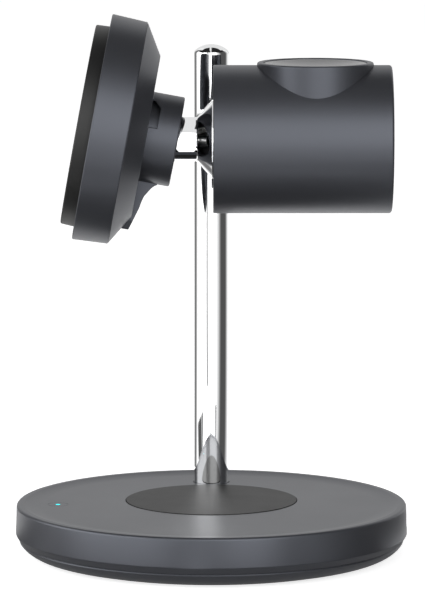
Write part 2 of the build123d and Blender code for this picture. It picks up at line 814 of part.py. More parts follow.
# Puck: a cup with a hollow face and a rounded rim
dish_rim = puck_radius - puck_rim_width
with BuildPart() as charging_puck:
    with BuildSketch(Plane.XZ):
        with BuildLine():
            Polyline(
                (puck_x, puck_ceiling), (puck_x + puck_cavity_radius, puck_ceiling),
                (puck_x + puck_cavity_radius, deck_top), (puck_x + puck_radius, deck_top),
                (puck_x + puck_radius, puck_rim), (puck_x + dish_rim, puck_rim),
            )
            ThreePointArc(
                (puck_x + dish_rim, puck_rim),
                (puck_x + dish_rim / 2,
                 puck_rim - puck_dish + cap_depth(dish_rim, puck_dish, dish_rim / 2)),
                (puck_x, puck_rim - puck_dish),
            )
            Line((puck_x, puck_rim - puck_dish), (puck_x, puck_ceiling))
        make_face()
    revolve(axis=Axis((puck_x, 0, 0), (0, 0, 1)))
    rim = charging_puck.edges().filter_by(
        lambda e: near(e.center().Z, puck_rim) and e.length > 6 * puck_radius
    )
    fillet(rim, puck_rim_radius)
charging_puck.part.label = "charging_puck"
export_step(charging_puck.part, "parts/charging_puck.step")

# Coil, ferrite, magnet and their support inside the puck
puck_stack = puck_ceiling - puck_coil_height
puck_coil = ring_between(
    Plane(origin=(puck_x, 0, puck_stack)), puck_cavity_radius - slip, puck_coil_inner,
    puck_coil_height,
)
puck_coil.label = "puck_coil"
export_step(puck_coil, "parts/puck_coil.step")

puck_ferrite = ring_between(
    Plane(origin=(puck_x, 0, puck_stack - puck_ferrite_height)),
    puck_cavity_radius - slip, puck_coil_inner, puck_ferrite_height,
)
puck_ferrite.label = "puck_ferrite"
export_step(puck_ferrite, "parts/puck_ferrite.step")

with BuildPart() as puck_magnet:
    with BuildSketch(Plane.XY.offset(puck_ceiling - puck_magnet_height)):
        with Locations((puck_x, 0)):
            Circle(puck_magnet_radius)
    extrude(amount=puck_magnet_height)
    chamfer(puck_magnet.edges().filter_by(GeomType.CIRCLE), magnet_chamfer)
puck_magnet.part.label = "puck_magnet"
export_step(puck_magnet.part, "parts/puck_magnet.step")

with BuildPart() as puck_support:
    with BuildSketch(Plane.XY.offset(deck_top)):
        with Locations((puck_x, 0)):
            Circle(puck_cavity_radius - slip)
    extrude(amount=puck_stack - puck_ferrite_height - deck_top)
    with BuildSketch(Plane.XY.offset(puck_ceiling - puck_magnet_height)):
        with Locations((puck_x, 0)):
            Circle(puck_magnet_radius + slip)
    extrude(amount=puck_magnet_height, mode=Mode.SUBTRACT)
puck_support.part.label = "puck_support"
export_step(puck_support.part, "parts/puck_support.step")

with BuildPart() as puck_board:
    with BuildSketch(Plane.XY.offset(deck_height)):
        with Locations(((deck_start + deck_end) / 2, 0)):
            RectangleRounded(deck_end - deck_start - 2 * puck_board_inset,
                             2 * puck_board_half_width, board_corner)
    extrude(amount=-board_thickness)
puck_board.part.label = "puck_board"
export_step(puck_board.part, "parts/puck_board.step")

# Rear cover of the head: hub, flat back and cone, with the fin below and a pocket each side
with BuildPart() as pocket_tool:
    with BuildSketch(head_section):
        with BuildLine():
            Polyline(*pocket_outline, close=True)
        make_face()
    extrude(amount=2 * hub_radius, both=True)
    with BuildSketch(head_section):
        Rectangle(4 * hub_radius, 4 * hub_radius)
    extrude(amount=pocket_inner_y, both=True, mode=Mode.SUBTRACT)
    with BuildSketch(head_plane(hub_rear)):
        Circle(pocket_floor_radius)
    extrude(amount=4 * hub_radius, mode=Mode.SUBTRACT)

with BuildPart() as fin:
    with BuildSketch(head_section):
        with BuildLine():
            Spline(*fin_curve, tangents=fin_directions)
            Polyline(fin_curve[-1], *fin_tip, *fin_root, fin_curve[0])
        make_face()
    extrude(amount=fin_width / 2, both=True)
    with BuildSketch(head_plane(0)):
        for side in (-1, 1):
            with BuildLine():
                Polyline(
                    (fin_toe_start, side * fin_width / 2),
                    (2 * fin_toe_start, side * fin_width / 2),
                    (2 * fin_toe_start,
                     side * (fin_width / 2 + fin_toe_start * tan(radians(fin_toe_slope)))),
                    close=True,
                )
            make_face()
    extrude(amount=hub_radius, mode=Mode.SUBTRACT)

with BuildPart() as head_rear_cover:
    with BuildSketch(head_section):
        with BuildLine():
            Polyline(
                (hub_bore, hub_rear), (hub_radius, hub_rear), (hub_radius, back_face),
                (back_radius, back_face), (ring_rear_radius, ring_rear),
                (ring_bore - slip, ring_rear), (ring_bore - slip, ring_rear + cover_spigot),
                (ring_bore - slip - cover_spigot_wall, ring_rear + cover_spigot),
                (ring_bore - slip - cover_spigot_wall, ring_rear + cover_spigot_root),
                (back_radius - back_wall_run, back_floor), (hub_bore, back_floor), (hub_bore, hub_rear),
            )
        make_face()
    revolve(axis=head_axis)
    rear_rim = head_rear_cover.faces().sort_by(head_axis)[0].edges().sort_by(SortBy.LENGTH)[-1]
    fillet(rear_rim, hub_edge)
    add(fin.part)
    with BuildSketch(head_plane(back_floor)):
        with Locations(*polar_points(head_boss_distance, 4, 45)):
            Circle(head_boss_radius)
    extrude(amount=plate_rear - back_floor)
    with BuildSketch(head_plane(plate_rear)):
        with Locations(*polar_points(head_boss_distance, 4, 45)):
            Circle(case_screw[0] + slip)
    extrude(amount=-head_screw_length, mode=Mode.SUBTRACT)
    with BuildSketch(head_plane(back_floor)):
        with GridLocations(2 * bracket_screw_x, 2 * bracket_screw_y, 2, 2):
            Circle(small_screw[0] + slip)
    extrude(amount=-(bracket_screw_length - bracket_thickness + blind_spare), mode=Mode.SUBTRACT)
    add(pocket_tool.part, mode=Mode.SUBTRACT)
head_rear_cover.part.label = "head_rear_cover"
export_step(head_rear_cover.part, "parts/head_rear_cover.step")

# Ring round the head, with the lip that holds the pad
with BuildPart() as head_ring:
    with BuildSketch(head_section):
        with BuildLine():
            Polyline(
                (ring_bore, ring_rear), (ring_rear_radius, ring_rear),
                (ring_front_radius, ring_front - ring_front_chamfer),
                (ring_front_radius - ring_front_chamfer, ring_front),
                (pad_root_radius + seat_gap, ring_front), (pad_root_radius + seat_gap, pad_lip),
                (ring_bore, pad_lip), (ring_bore, ring_rear),
            )
        make_face()
    revolve(axis=head_axis)
head_ring.part.label = "head_ring"
export_step(head_ring.part, "parts/head_ring.step")

# Front pad: a soft-faced cup held by its flange
flange_front = pad_lip - slip
flange_rear = flange_front - pad_flange_thickness
with BuildPart() as front_pad:
    with BuildSketch(head_section):
        with BuildLine():
            Polyline(
                (0, pad_ceiling), (pad_cavity_radius, pad_ceiling),
                (pad_cavity_radius, flange_rear), (pad_root_radius + pad_flange, flange_rear),
                (pad_root_radius + pad_flange, flange_front), (pad_root_radius, flange_front),
                (pad_front_radius, pad_front), (0, pad_front), (0, pad_ceiling),
            )
        make_face()
    revolve(axis=head_axis)
    fillet(front_pad.faces().sort_by(head_axis)[-1].edges(), pad_edge)
front_pad.part.label = "front_pad"
export_step(front_pad.part, "parts/front_pad.step")

# Ring of magnets with its yoke
magnet_outer = pad_cavity_radius - seat_gap
magnet_step = 360 / magnet_count
with BuildPart() as magnet_ring:
    for n in range(magnet_count):
        start = n * magnet_step + magnet_gap / 2
        sweep_angle = magnet_step - magnet_gap
        end = start + sweep_angle
        with BuildSketch(head_plane(yoke_front)):
            with BuildLine():
                CenterArc((0, 0), magnet_outer, start, sweep_angle)
                CenterArc((0, 0), magnet_inner, start, sweep_angle)
                for angle in (start, end):
                    Line(
                        (magnet_inner * cos(radians(angle)), magnet_inner * sin(radians(angle))),
                        (magnet_outer * cos(radians(angle)), magnet_outer * sin(radians(angle))),
                    )
            make_face()
        extrude(amount=magnet_height)
magnet_ring.part.label = "magnet_ring"
export_step(magnet_ring.part, "parts/magnet_ring.step")

magnet_yoke = ring_between(head_plane(plate_front), magnet_outer, magnet_inner, yoke_thickness)
magnet_yoke.label = "magnet_yoke"
export_step(magnet_yoke, "parts/magnet_yoke.step")

# Coil and ferrite sheet in the head
head_coil = ring_between(
    head_plane(pad_ceiling - head_coil_height), head_coil_outer, head_coil_inner, head_coil_height
)
head_coil.label = "head_coil"
export_step(head_coil, "parts/head_coil.step")

with BuildPart() as head_ferrite:
    with BuildSketch(head_plane(plate_front)):
        Circle(head_ferrite_radius)
    extrude(amount=pad_ceiling - head_coil_height - plate_front)
head_ferrite.part.label = "head_ferrite"
export_step(head_ferrite.part, "parts/head_ferrite.step")

# Plate that carries coil, magnets and board, screwed to the rear cover
board_posts = polar_points(head_post_distance, 3, 90)
with BuildPart() as module_plate:
    with BuildSketch(head_plane(plate_rear)):
        Circle(magnet_outer)
        with Locations(*polar_points(head_boss_distance, 4, 45)):
            Circle(case_screw[0] + slip, mode=Mode.SUBTRACT)
    extrude(amount=module_plate_thickness)
    with BuildSketch(head_plane(head_board_front)):
        with Locations(*board_posts):
            Circle(head_post_radius)
    extrude(amount=head_board_standoff)
module_plate.part.label = "module_plate"
export_step(module_plate.part, "parts/module_plate.step")

head_screws = screws(
    [Plane(origin=head_plane(plate_front).from_local_coords((x, y, 0)), x_dir=v, z_dir=u)
     for x, y in polar_points(head_boss_distance, 4, 45)],
    case_screw, head_screw_length,
)
head_screws.label = "head_screws"
export_step(head_screws, "parts/head_screws.step")

with BuildPart() as head_board:
    with BuildSketch(head_plane(head_board_front)):
        Circle(head_board_radius)
    extrude(amount=-board_thickness)
head_board.part.label = "head_board"
export_step(head_board.part, "parts/head_board.step")

# Hinge bracket: base plate with two cheeks that end in round eyes
with BuildPart() as hinge_bracket:
    with BuildSketch(head_plane(back_floor)):
        RectangleRounded(2 * bracket_half_x, 2 * bracket_half_y, bracket_corner)
        with GridLocations(2 * bracket_screw_x, 2 * bracket_screw_y, 2, 2):
            Circle(small_screw[0] + slip, mode=Mode.SUBTRACT)
    extrude(amount=bracket_thickness)
    for side in (-1, 1):
        with BuildSketch(head_section.offset(side * cheek_inner)):
            Circle(cheek_end_radius)
            with BuildLine():
                Polyline(
                    (-cheek_end_radius, 0), (cheek_end_radius, 0),
                    (cheek_half_width, back_floor + bracket_thickness / 2),
                    (-cheek_half_width, back_floor + bracket_thickness / 2), close=True,
                )
            make_face()
            Circle(pin_radius + slip, mode=Mode.SUBTRACT)
        extrude(amount=side * cheek_thickness)
hinge_bracket.part.label = "hinge_bracket"
export_step(hinge_bracket.part, "parts/hinge_bracket.step")

bracket_screws = screws(
    [Plane(origin=head_plane(back_floor + bracket_thickness).from_local_coords((x, y, 0)),
           x_dir=v, z_dir=u)
     for x in (-bracket_screw_x, bracket_screw_x) for y in (-bracket_screw_y, bracket_screw_y)],
    small_screw, bracket_screw_length,
)
bracket_screws.label = "bracket_screws"
export_step(bracket_screws, "parts/bracket_screws.step")

# Knuckle fixed in the end of the arm's tube
with BuildPart() as hinge_knuckle:
    with BuildSketch(arm_plane):
        with Locations((hinge_x, 0)):
            Circle(knuckle_radius)
        with Locations((hinge_x, 0)):
            Rectangle(tube_start - hinge_x, 2 * knuckle_radius, align=(Align.MIN, Align.CENTER))
    extrude(amount=knuckle_half_width, both=True)
    split(bisect_by=side_plane(tube_start), keep=Keep.BOTTOM)
    with BuildSketch(side_plane(tube_start)):
        Circle(tube_bore - slip)
    extrude(amount=knuckle_spigot_end - tube_start)
    with BuildSketch(arm_plane):
        with Locations((hinge_x, 0)):
            Circle(pin_radius + slip)
    extrude(amount=knuckle_half_width, both=True, mode=Mode.SUBTRACT)
hinge_knuckle.part.label = "hinge_knuckle"
export_step(hinge_knuckle.part, "parts/hinge_knuckle.step")

# Hinge pin with a head at one end and a pressed-on cap at the other
with BuildPart() as hinge_pin:
    with BuildSketch(head_section):
        Circle(pin_radius)
    extrude(amount=cheek_outer + pin_head_height, both=True)
    for side in (-1, 1):
        with BuildSketch(head_section.offset(side * cheek_outer)):
            Circle(pin_head_radius)
        extrude(amount=side * pin_head_height)
hinge_pin.part.label = "hinge_pin"
export_step(hinge_pin.part, "parts/hinge_pin.step")

with BuildPart() as friction_washers:
    for side in (-1, 1):
        with BuildSketch(head_section.offset(side * (knuckle_half_width + slip))):
            Circle(washer_radius)
            Circle(pin_radius + slip, mode=Mode.SUBTRACT)
        extrude(amount=side * washer_thickness)
friction_washers.part.label = "friction_washers"
export_step(friction_washers.part, "parts/friction_washers.step")
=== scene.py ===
import json
from math import ceil, cos, pi, radians, sin, tan
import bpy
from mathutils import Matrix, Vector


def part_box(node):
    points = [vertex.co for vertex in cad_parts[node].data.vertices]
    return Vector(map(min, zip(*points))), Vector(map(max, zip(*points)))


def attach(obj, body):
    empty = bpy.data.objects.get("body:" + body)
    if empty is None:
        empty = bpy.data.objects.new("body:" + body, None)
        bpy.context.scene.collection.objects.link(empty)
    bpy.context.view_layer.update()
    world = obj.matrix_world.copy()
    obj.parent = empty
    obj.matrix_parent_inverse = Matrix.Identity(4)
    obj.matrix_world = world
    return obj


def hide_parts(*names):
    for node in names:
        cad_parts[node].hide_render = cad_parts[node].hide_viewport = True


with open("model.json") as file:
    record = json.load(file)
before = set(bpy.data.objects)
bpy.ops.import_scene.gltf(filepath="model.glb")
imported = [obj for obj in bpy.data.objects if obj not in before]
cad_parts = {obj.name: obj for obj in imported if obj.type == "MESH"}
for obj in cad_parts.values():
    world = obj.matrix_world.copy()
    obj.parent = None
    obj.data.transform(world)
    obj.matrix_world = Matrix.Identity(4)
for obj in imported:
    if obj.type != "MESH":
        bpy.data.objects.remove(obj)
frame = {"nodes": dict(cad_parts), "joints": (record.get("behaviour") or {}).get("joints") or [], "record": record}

from types import SimpleNamespace

import bmesh
import bpy
from bpy.props import FloatProperty, FloatVectorProperty, PointerProperty
from mathutils import Matrix, Vector
from mathutils.geometry import interpolate_bezier

bl_info = {
    "name": "Charging stand",
    "version": (1, 0, 0),
    "blender": (4, 5, 0),
    "location": "3D View > Sidebar > Stand",
    "description": "Shells and finishes for a charging stand with a tilting head",
    "category": "Object",
}

MM = 0.001
X, Y, Z = Vector((1, 0, 0)), Vector((0, 1, 0)), Vector((0, 0, 1))
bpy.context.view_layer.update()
joint = frame["joints"][0]
head_out = Vector(next(m for m in frame["record"]["mounts"] if m["name"] == "head_pad")["axis"])
head_up = Y.cross(head_out)

# Clearances in millimetres: round turned pieces, round pads in a recess, round the stub in the drum
slip = 0.05
seat_gap = 0.15
notch_gap = 0.3
past = 1                    # how far a cutter runs past the surface that it cuts, in millimetres
wall_draft = radians(2)
fine_turns = 300            # sides of the large turned pieces
sharp_bend = radians(32)    # a bend above this keeps its edge sharp


def low(node):
    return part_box(node)[0]


def high(node):
    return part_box(node)[1]


def centre_of(node):
    return (low(node) + high(node)) / 2


def length(name, description, default):
    """Property for a length in metres."""
    return FloatProperty(name=name, description=description, subtype="DISTANCE", default=default)


def tint(name, description, default):
    """Property for a colour."""
    return FloatVectorProperty(name=name, description=description, subtype="COLOR", size=3,
                               min=0.0, max=1.0, default=default)


# Properties

class StandSizes(bpy.types.PropertyGroup):
    """Sizes of the shells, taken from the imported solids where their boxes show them"""

    base_height: length("Base height", "From the table to the base's rim", high("base_housing").z)
    wall_radius: length("Wall radius", "Radius at the foot of the base's wall", high("base_housing").x)
    wall_foot: length("Wall foot", "Height where the wall starts", 6.2 * MM)
    parting: length("Parting line", "Height of the seam round the base", low("base_housing").z)
    cover_radius: length("Cover radius", "Radius at the parting line", high("base_bottom_cover").x)
    cover_lift: length("Cover lift", "Height of the cover off the table", low("base_bottom_cover").z)
    lip_width: length("Lip width", "Flat lip round the base's top", 1.9 * MM)
    dish_depth: length("Dish depth", "How far the top lies below the lip", 0.6 * MM)
    dish_run: length("Dish run", "Width of the curve inside the lip", 5.2 * MM)
    plate: length("Plate", "Thickness of the base's top", 2.0 * MM)
    wall: length("Wall", "Thickness of the base's wall at its foot", 3.0 * MM)
    bevel_run: length("Bevel run", "Width of the cover's curved bevel", 6.0 * MM)
    bevel_bulge: length("Bevel bulge", "How far the bevel stands out from its chord", 0.8 * MM)
    cover_wall: length("Cover thickness", "Thickness of the bottom cover", 2.0 * MM)
    cover_rib_height: length("Cover rib height", "Rib of the cover inside the wall", 2.0 * MM)
    cover_rib_width: length("Cover rib width", "Width of that rib", 1.6 * MM)
    foot_radius: length("Foot radius", "Outer radius of the rubber ring", high("foot_ring").x)
    foot_width: length("Foot width", "Width of the rubber ring", 7.5 * MM)
    foot_top: length("Foot top", "Height of the rubber ring", high("foot_ring").z)
    inlay_radius: length("Inlay radius", "Radius of the round pad in the base", high("inlay_pad").x)
    inlay_low: length("Inlay seat", "Height of the pad's underside", low("inlay_pad").z)
    inlay_top: length("Inlay top", "Height of the pad's face", high("inlay_pad").z)
    inlay_y: length("Inlay offset", "Distance of the pad's middle from the base's",
                    centre_of("inlay_pad").y)
    lens_x: length("Indicator", "Place of the small light", centre_of("indicator_lens").x)
    lens_top: length("Indicator top", "Height of the small light", high("indicator_lens").z)
    lens_radius: length("Indicator radius", "Radius of the small light", 0.65 * MM)
    touch_radius: length("Touch ring", "Radius of the fine ring round the light", 2.8 * MM)
    inlet_x: length("Socket mouth", "Place of the socket's mouth", high("usb_c_inlet").x)
    inlet_length: length("Socket length", "Length of the socket's shell",
                         high("usb_c_inlet").x - low("usb_c_inlet").x)
    inlet_width: length("Socket width", "Width of the socket's shell", 2 * high("usb_c_inlet").y)
    inlet_low: length("Socket underside", "Height of the shell's underside", low("usb_c_inlet").z)
    inlet_top: length("Socket top", "Height of the shell's top", high("usb_c_inlet").z)
    post_radius: length("Post radius", "Radius of the chrome post", high("post").x)
    post_y: length("Post place", "Distance of the post from the base's middle",
                   high("post").y - high("post").x)
    stub_radius: length("Stub radius", "Radius of the stub behind the arm", 4.6 * MM)
    arm_height: length("Arm height", "Height of the arm's axis", joint["pos_m"][2])
    tube_start: length("Tube start", "Left end of the arm's tube", low("arm_hub").x)
    tube_radius: length("Tube radius", "Radius of the arm's tube", 6.1 * MM)
    tube_bore: length("Tube bore", "Radius of the tube's bore", 4.45 * MM)
    cone_start: length("Cone start", "Where the arm flares", -3.9 * MM)
    cone_radius: length("Cone radius", "Largest radius of the flare", high("arm_hub").y)
    spigot_radius: length("Spigot radius", "Part of the hub inside the drum", 9.4 * MM)
    spigot_end: length("Spigot end", "Right end of the hub", high("arm_hub").x)
    drum_start: length("Drum start", "Left end of the drum", low("drum_shell").x)
    drum_end: length("Drum end", "Right end of the drum", high("drum_shell").x)
    drum_radius: length("Drum radius", "Radius of the drum", high("drum_shell").y)
    drum_wall: length("Drum wall", "Thickness of the drum's wall", 2.0 * MM)
    boss_radius: length("Drum boss radius", "Thick ring round the spigot", 14.0 * MM)
    boss_end: length("Drum boss end", "Right end of that ring", 6.6 * MM)
    cap_start: length("Cap plug", "Left end of the end cap's plug", low("drum_end_cap").x)
    cap_face: length("Cap face", "Face of the end cap", high("drum_end_cap").x)
    cap_radius: length("Cap radius", "Radius of the end cap", high("drum_end_cap").y)
    cap_wall: length("Cap thickness", "Thickness of the end cap", 1.0 * MM)
    cap_plug_wall: length("Cap plug wall", "Thickness of the cap's plug", 1.6 * MM)
    puck_x: length("Puck place", "Middle of the puck along the drum", centre_of("puck_ring").x)
    seat_radius: length("Seat radius", "Radius of the round seat", high("puck_ring").y)
    seat_low: length("Seat foot", "Height of the seat's foot in the drum", low("puck_ring").z)
    seat_top: length("Seat top", "Height of the seat's rim", high("puck_ring").z)
    puck_radius: length("Puck radius", "Radius of the puck in the seat", high("charging_puck").y)
    puck_top: length("Puck rim", "Height of the puck's rim", high("charging_puck").z)
    puck_dish: length("Puck hollow", "Depth of the puck's hollow face", 1.3 * MM)
    puck_rim: length("Puck rim width", "Flat rim round the hollow face", 1.0 * MM)
    puck_wall: length("Puck thickness", "Thickness below the hollow face", 1.2 * MM)
    hub_radius: length("Head hub radius", "Radius of the head's hub", 12.45 * MM)
    hub_bore: length("Head hub bore", "Radius of the hub's bore", 8.6 * MM)
    hub_rear: length("Head hub end", "Rear end of the hub along the head's axis", -4.4 * MM)
    back_face: length("Back face", "Flat back of the head along its axis", 4.3 * MM)
    back_radius: length("Back radius", "Radius of the flat back", 22.4 * MM)
    back_wall: length("Back thickness", "Thickness of the head's back", 2.0 * MM)
    ring_rear: length("Ring rear", "Rear of the head's ring along its axis", 9.4 * MM)
    ring_front: length("Ring front", "Front of the head's ring along its axis", 19.3 * MM)
    ring_rear_radius: length("Ring rear radius", "Radius at the ring's rear", high("head_rear_cover").y)
    ring_front_radius: length("Ring front radius", "Radius at the ring's front", high("head_ring").y)
    ring_wall: length("Ring wall", "Thickness of the ring", 2.0 * MM)
    ring_ledge: length("Ring ledge", "How deep the pad sits in the ring", 2.0 * MM)
    pad_radius: length("Pad radius", "Radius of the pad's face", 27.7 * MM)
    pad_front: length("Pad front", "Face of the pad along the head's axis", 23.2 * MM)
    pad_taper: length("Pad taper", "How much wider the pad is at its root", 0.3 * MM)
    pad_wall: length("Pad thickness", "Thickness of the pad", 1.2 * MM)
    pad_flange_width: length("Pad flange width", "Flange that holds the pad behind the ring", 0.7 * MM)
    pad_flange_height: length("Pad flange height", "Thickness of that flange", 1.4 * MM)
    fin_width: length("Fin width", "Thickness of the fin", 5.0 * MM)
    pocket_core: length("Pocket floor", "Radius of the hub's side pockets at their floor", 10.8 * MM)


class StandColours(bpy.types.PropertyGroup):
    """Colours and gloss of the stand's finishes"""

    moulding: tint("Moulding", "Slate plastic of the base, drum and head", (0.023, 0.0235, 0.0265))
    moulding_roughness: FloatProperty(
        name="Moulding roughness", description="How matte the slate plastic is",
        subtype="FACTOR", min=0.0, max=1.0, default=0.38,
    )
    inlay: tint("Inlay", "Round pad let into the base", (0.0095, 0.0095, 0.0095))
    pad: tint("Front pad", "Soft black pad on the head", (0.0065, 0.0065, 0.0065))
    rubber: tint("Rubber", "Ring under the base", (0.015, 0.015, 0.015))
    puck: tint("Puck", "Glossy puck on the drum", (0.03, 0.03, 0.034))
    chrome: tint("Chrome", "Polished metal of the post and arm", (0.93, 0.935, 0.94))
    light: tint("Indicator", "Colour of the small light", (0.0, 0.78, 0.88))
    copper: tint("Copper", "Coil wire", (0.72, 0.33, 0.16))
    steel: tint("Steel", "Plated steel and magnets", (0.56, 0.56, 0.55))
    gold: tint("Gold", "Contacts of the socket", (0.83, 0.60, 0.24))
    dark: tint("Inner plastic", "Black plastic of the inner parts", (0.03, 0.03, 0.03))
    board: tint("Circuit board", "Solder mask of the boards", (0.012, 0.085, 0.040))


class StandStage(bpy.types.PropertyGroup):
    """Camera, lamps and background"""

    lens: FloatProperty(
        name="Lens", description="Focal length on a 36 mm sensor",
        subtype="DISTANCE_CAMERA", min=20.0, default=264.17,
    )
    camera_place: FloatVectorProperty(
        name="Camera place", description="Where the camera stands",
        subtype="TRANSLATION", size=3, default=(-0.00028, -1.20428, 0.23148),
    )
    camera_pitch: FloatProperty(
        name="Camera pitch", description="How far the camera looks down",
        subtype="ANGLE", default=radians(7.588),
    )
    camera_turn: FloatProperty(
        name="Camera turn", description="How far the camera looks to +X",
        subtype="ANGLE", default=radians(0.0275),
    )
    softbox_level: FloatProperty(
        name="Softboxes", description="Brightness of the softboxes, where 1 is white",
        min=0.0, default=2.2,
    )
    ambient: FloatProperty(
        name="Ambient", description="Light that the white room gives to matte surfaces",
        min=0.0, default=0.35,
    )
    floor_lift: FloatProperty(
        name="Floor glow", description="Light added to the floor so that it looks white",
        min=0.0, default=0.74,
    )


# Shader expressions

class Value:
    """A shader socket that takes part in Python arithmetic."""

    def __init__(self, owner, socket):
        self.owner = owner
        self.socket = socket

    def math(self, operation, first, second=None):
        sockets = {0: first}
        if second is not None:
            sockets[1] = second
        return self.owner.node("ShaderNodeMath", {"operation": operation}, sockets)

    def __add__(self, other):
        return self.math("ADD", self, other)

    __radd__ = __add__

    def __sub__(self, other):
        return self.math("SUBTRACT", self, other)

    def __rsub__(self, other):
        return self.math("SUBTRACT", other, self)

    def __mul__(self, other):
        return self.math("MULTIPLY", self, other)

    __rmul__ = __mul__

    def __truediv__(self, other):
        return self.math("DIVIDE", self, other)

    def __mod__(self, other):
        return self.math("FLOORED_MODULO", self, other)

    def __lt__(self, other):
        return self.math("LESS_THAN", self, other)

    def __abs__(self):
        return self.math("ABSOLUTE", self)


class Tree:
    """A node tree that is filled from expressions."""

    def __init__(self, owner):
        owner.use_nodes = True
        self.tree = owner.node_tree
        self.tree.nodes.clear()

    def node(self, kind, settings=None, sockets=None, output=0):
        """Add a node, with its settings first and then its sockets' values or links."""
        node = self.tree.nodes.new(kind)
        for name, setting in (settings or {}).items():
            setattr(node, name, setting)
        for name, value in (sockets or {}).items():
            if isinstance(value, Value):
                self.tree.links.new(value.socket, node.inputs[name])
            else:
                node.inputs[name].default_value = value
        return Value(self, node.outputs[output]) if node.outputs else None

    def background_rays(self):
        """1 for the rays that see the white background, and 0 for the rest."""
        seen, glossy, through = (
            self.node("ShaderNodeLightPath", output=name)
            for name in ("Is Camera Ray", "Is Glossy Ray", "Is Transmission Ray")
        )
        return seen.math("MAXIMUM", seen.math("MAXIMUM", seen, glossy), through)


class Finish(Tree):
    """The node tree of one material."""

    def __init__(self, name):
        self.material = bpy.data.materials.new(name)
        super().__init__(self.material)
        self.place = self.node("ShaderNodeTexCoord", output="Object")

    def noise(self, size, detail=2.0, roughness=0.5):
        """Noise from 0 to 1 whose patches are about size across, in metres."""
        return self.node(
            "ShaderNodeTexNoise", {"noise_dimensions": "3D"},
            {"Vector": self.place, "Scale": 1.0 / size, "Detail": detail, "Roughness": roughness},
        )

    def mix(self, factor, first, second):
        """Blend two colours."""
        return self.node(
            "ShaderNodeMix", {"data_type": "RGBA"},
            {0: factor, 6: colour(first), 7: colour(second)}, output=2,
        )

    def axes(self):
        """The x, y and z of the object's own coordinates."""
        return [self.node("ShaderNodeSeparateXYZ", None, {0: self.place}, output=n)
                for n in range(3)]

    def vector(self, operation, first, second, output="Vector"):
        return self.node("ShaderNodeVectorMath", {"operation": operation}, {0: first, 1: second},
                         output=output)

    def bump(self, height, depth):
        """Normal of a relief whose height of 1 stands depth metres high."""
        return self.node(
            "ShaderNodeBump", None, {"Height": height, "Distance": depth, "Strength": 1.0},
        )

    def surface(self, **sockets):
        """Finish with a Principled shader; a word's underscores stand for spaces."""
        values = {name.replace("_", " "): colour(value) for name, value in sockets.items()}
        shader = self.node("ShaderNodeBsdfPrincipled", None, values)
        return self.output(shader).material

    def output(self, shader):
        self.node("ShaderNodeOutputMaterial", None, {"Surface": shader})
        return self


def colour(value):
    """A colour of three numbers with its alpha, and anything else as it is."""
    if isinstance(value, (Value, float, int)):
        return value
    return (*value[:3], 1.0)


def shade(value, factor):
    return tuple(min(1.0, part * factor) for part in value[:3])


# Finishes

def slate_moulding(name, base, roughness, specular):
    """Fine-grained matte plastic, a little uneven in tone and gloss."""
    finish = Finish(name)
    cloud = finish.noise(22 * MM, 3.0)
    grain = finish.noise(0.16 * MM, 2.0, 0.6)
    return finish.surface(
        Base_Color=finish.mix(cloud, shade(base, 0.94), shade(base, 1.06)),
        Roughness=roughness - 0.03 + 0.05 * cloud + 0.02 * grain,
        Normal=finish.bump(grain, 0.006 * MM),
        Specular_IOR_Level=specular,
        Specular_Tint=(0.82, 0.87, 1.0),
    )


def soft_rubber(name, base, roughness, specular):
    """Silicone or rubber with a faint dusty bloom."""
    finish = Finish(name)
    cloud = finish.noise(9 * MM, 4.0)
    grain = finish.noise(0.12 * MM, 2.0, 0.7)
    return finish.surface(
        Base_Color=finish.mix(cloud, shade(base, 0.85), shade(base, 1.2)),
        Roughness=roughness - 0.04 + 0.08 * cloud,
        Normal=finish.bump(grain, 0.005 * MM),
        Specular_IOR_Level=specular,
    )


def polished_chrome(name, base):
    """Bright plating with the faint haze and waviness of a polished tube."""
    finish = Finish(name)
    haze = finish.noise(14 * MM, 3.0)
    wave = finish.noise(30 * MM, 1.0)
    return finish.surface(
        Base_Color=base,
        Metallic=1.0,
        Roughness=0.025 + 0.02 * haze,
        Normal=finish.bump(wave, 0.002 * MM),
    )


def plain_metal(name, base, roughness, grain_size):
    """Bare or plated metal with a fine uneven grain."""
    finish = Finish(name)
    grain = finish.noise(grain_size, 3.0, 0.6)
    return finish.surface(
        Base_Color=finish.mix(grain, shade(base, 0.8), shade(base, 1.1)),
        Metallic=1.0,
        Roughness=roughness - 0.06 + 0.12 * grain,
        Normal=finish.bump(grain, 0.004 * MM),
    )


def plain_plastic(name, base, roughness):
    """Smooth plastic of one colour."""
    finish = Finish(name)
    grain = finish.noise(0.3 * MM, 2.0)
    return finish.surface(
        Base_Color=finish.mix(grain, shade(base, 0.92), shade(base, 1.08)),
        Roughness=roughness - 0.02 + 0.04 * grain,
        Normal=finish.bump(grain, 0.004 * MM),
    )


def coil_winding(name, base, centre, axis):
    """Enamelled wire wound in a flat spiral round an axis, with painted shade in the grooves between turns."""
    finish = Finish(name)
    pitch = 0.45 * MM
    offset = finish.vector("SUBTRACT", finish.place, centre)
    radius = finish.vector("LENGTH", finish.vector("CROSS_PRODUCT", offset, axis), axis, "Value")
    strand = abs((radius / pitch) % 1.0 - 0.5)
    return finish.surface(
        # The colour darkens towards the grooves between turns: painted shade.
        Base_Color=finish.mix(2.0 * strand, base, shade(base, 0.35)),
        Metallic=1.0,
        Roughness=0.28 + 0.3 * strand,
        Normal=finish.bump(0.5 - strand, 0.4 * pitch),
    )


def contact_tongue(name, base, metal):
    """Black tongue with a row of gilt contacts along its faces."""
    finish = Finish(name)
    x, y, z = finish.axes()
    grain = finish.noise(0.3 * MM, 2.0)
    row = (abs((y / (0.5 * MM)) % 1.0 - 0.5) < 0.28) * (abs(y) < 2.9 * MM)
    return finish.surface(
        Base_Color=finish.mix(row, base, metal),
        Metallic=row,
        Roughness=0.3 + 0.1 * grain,
    )


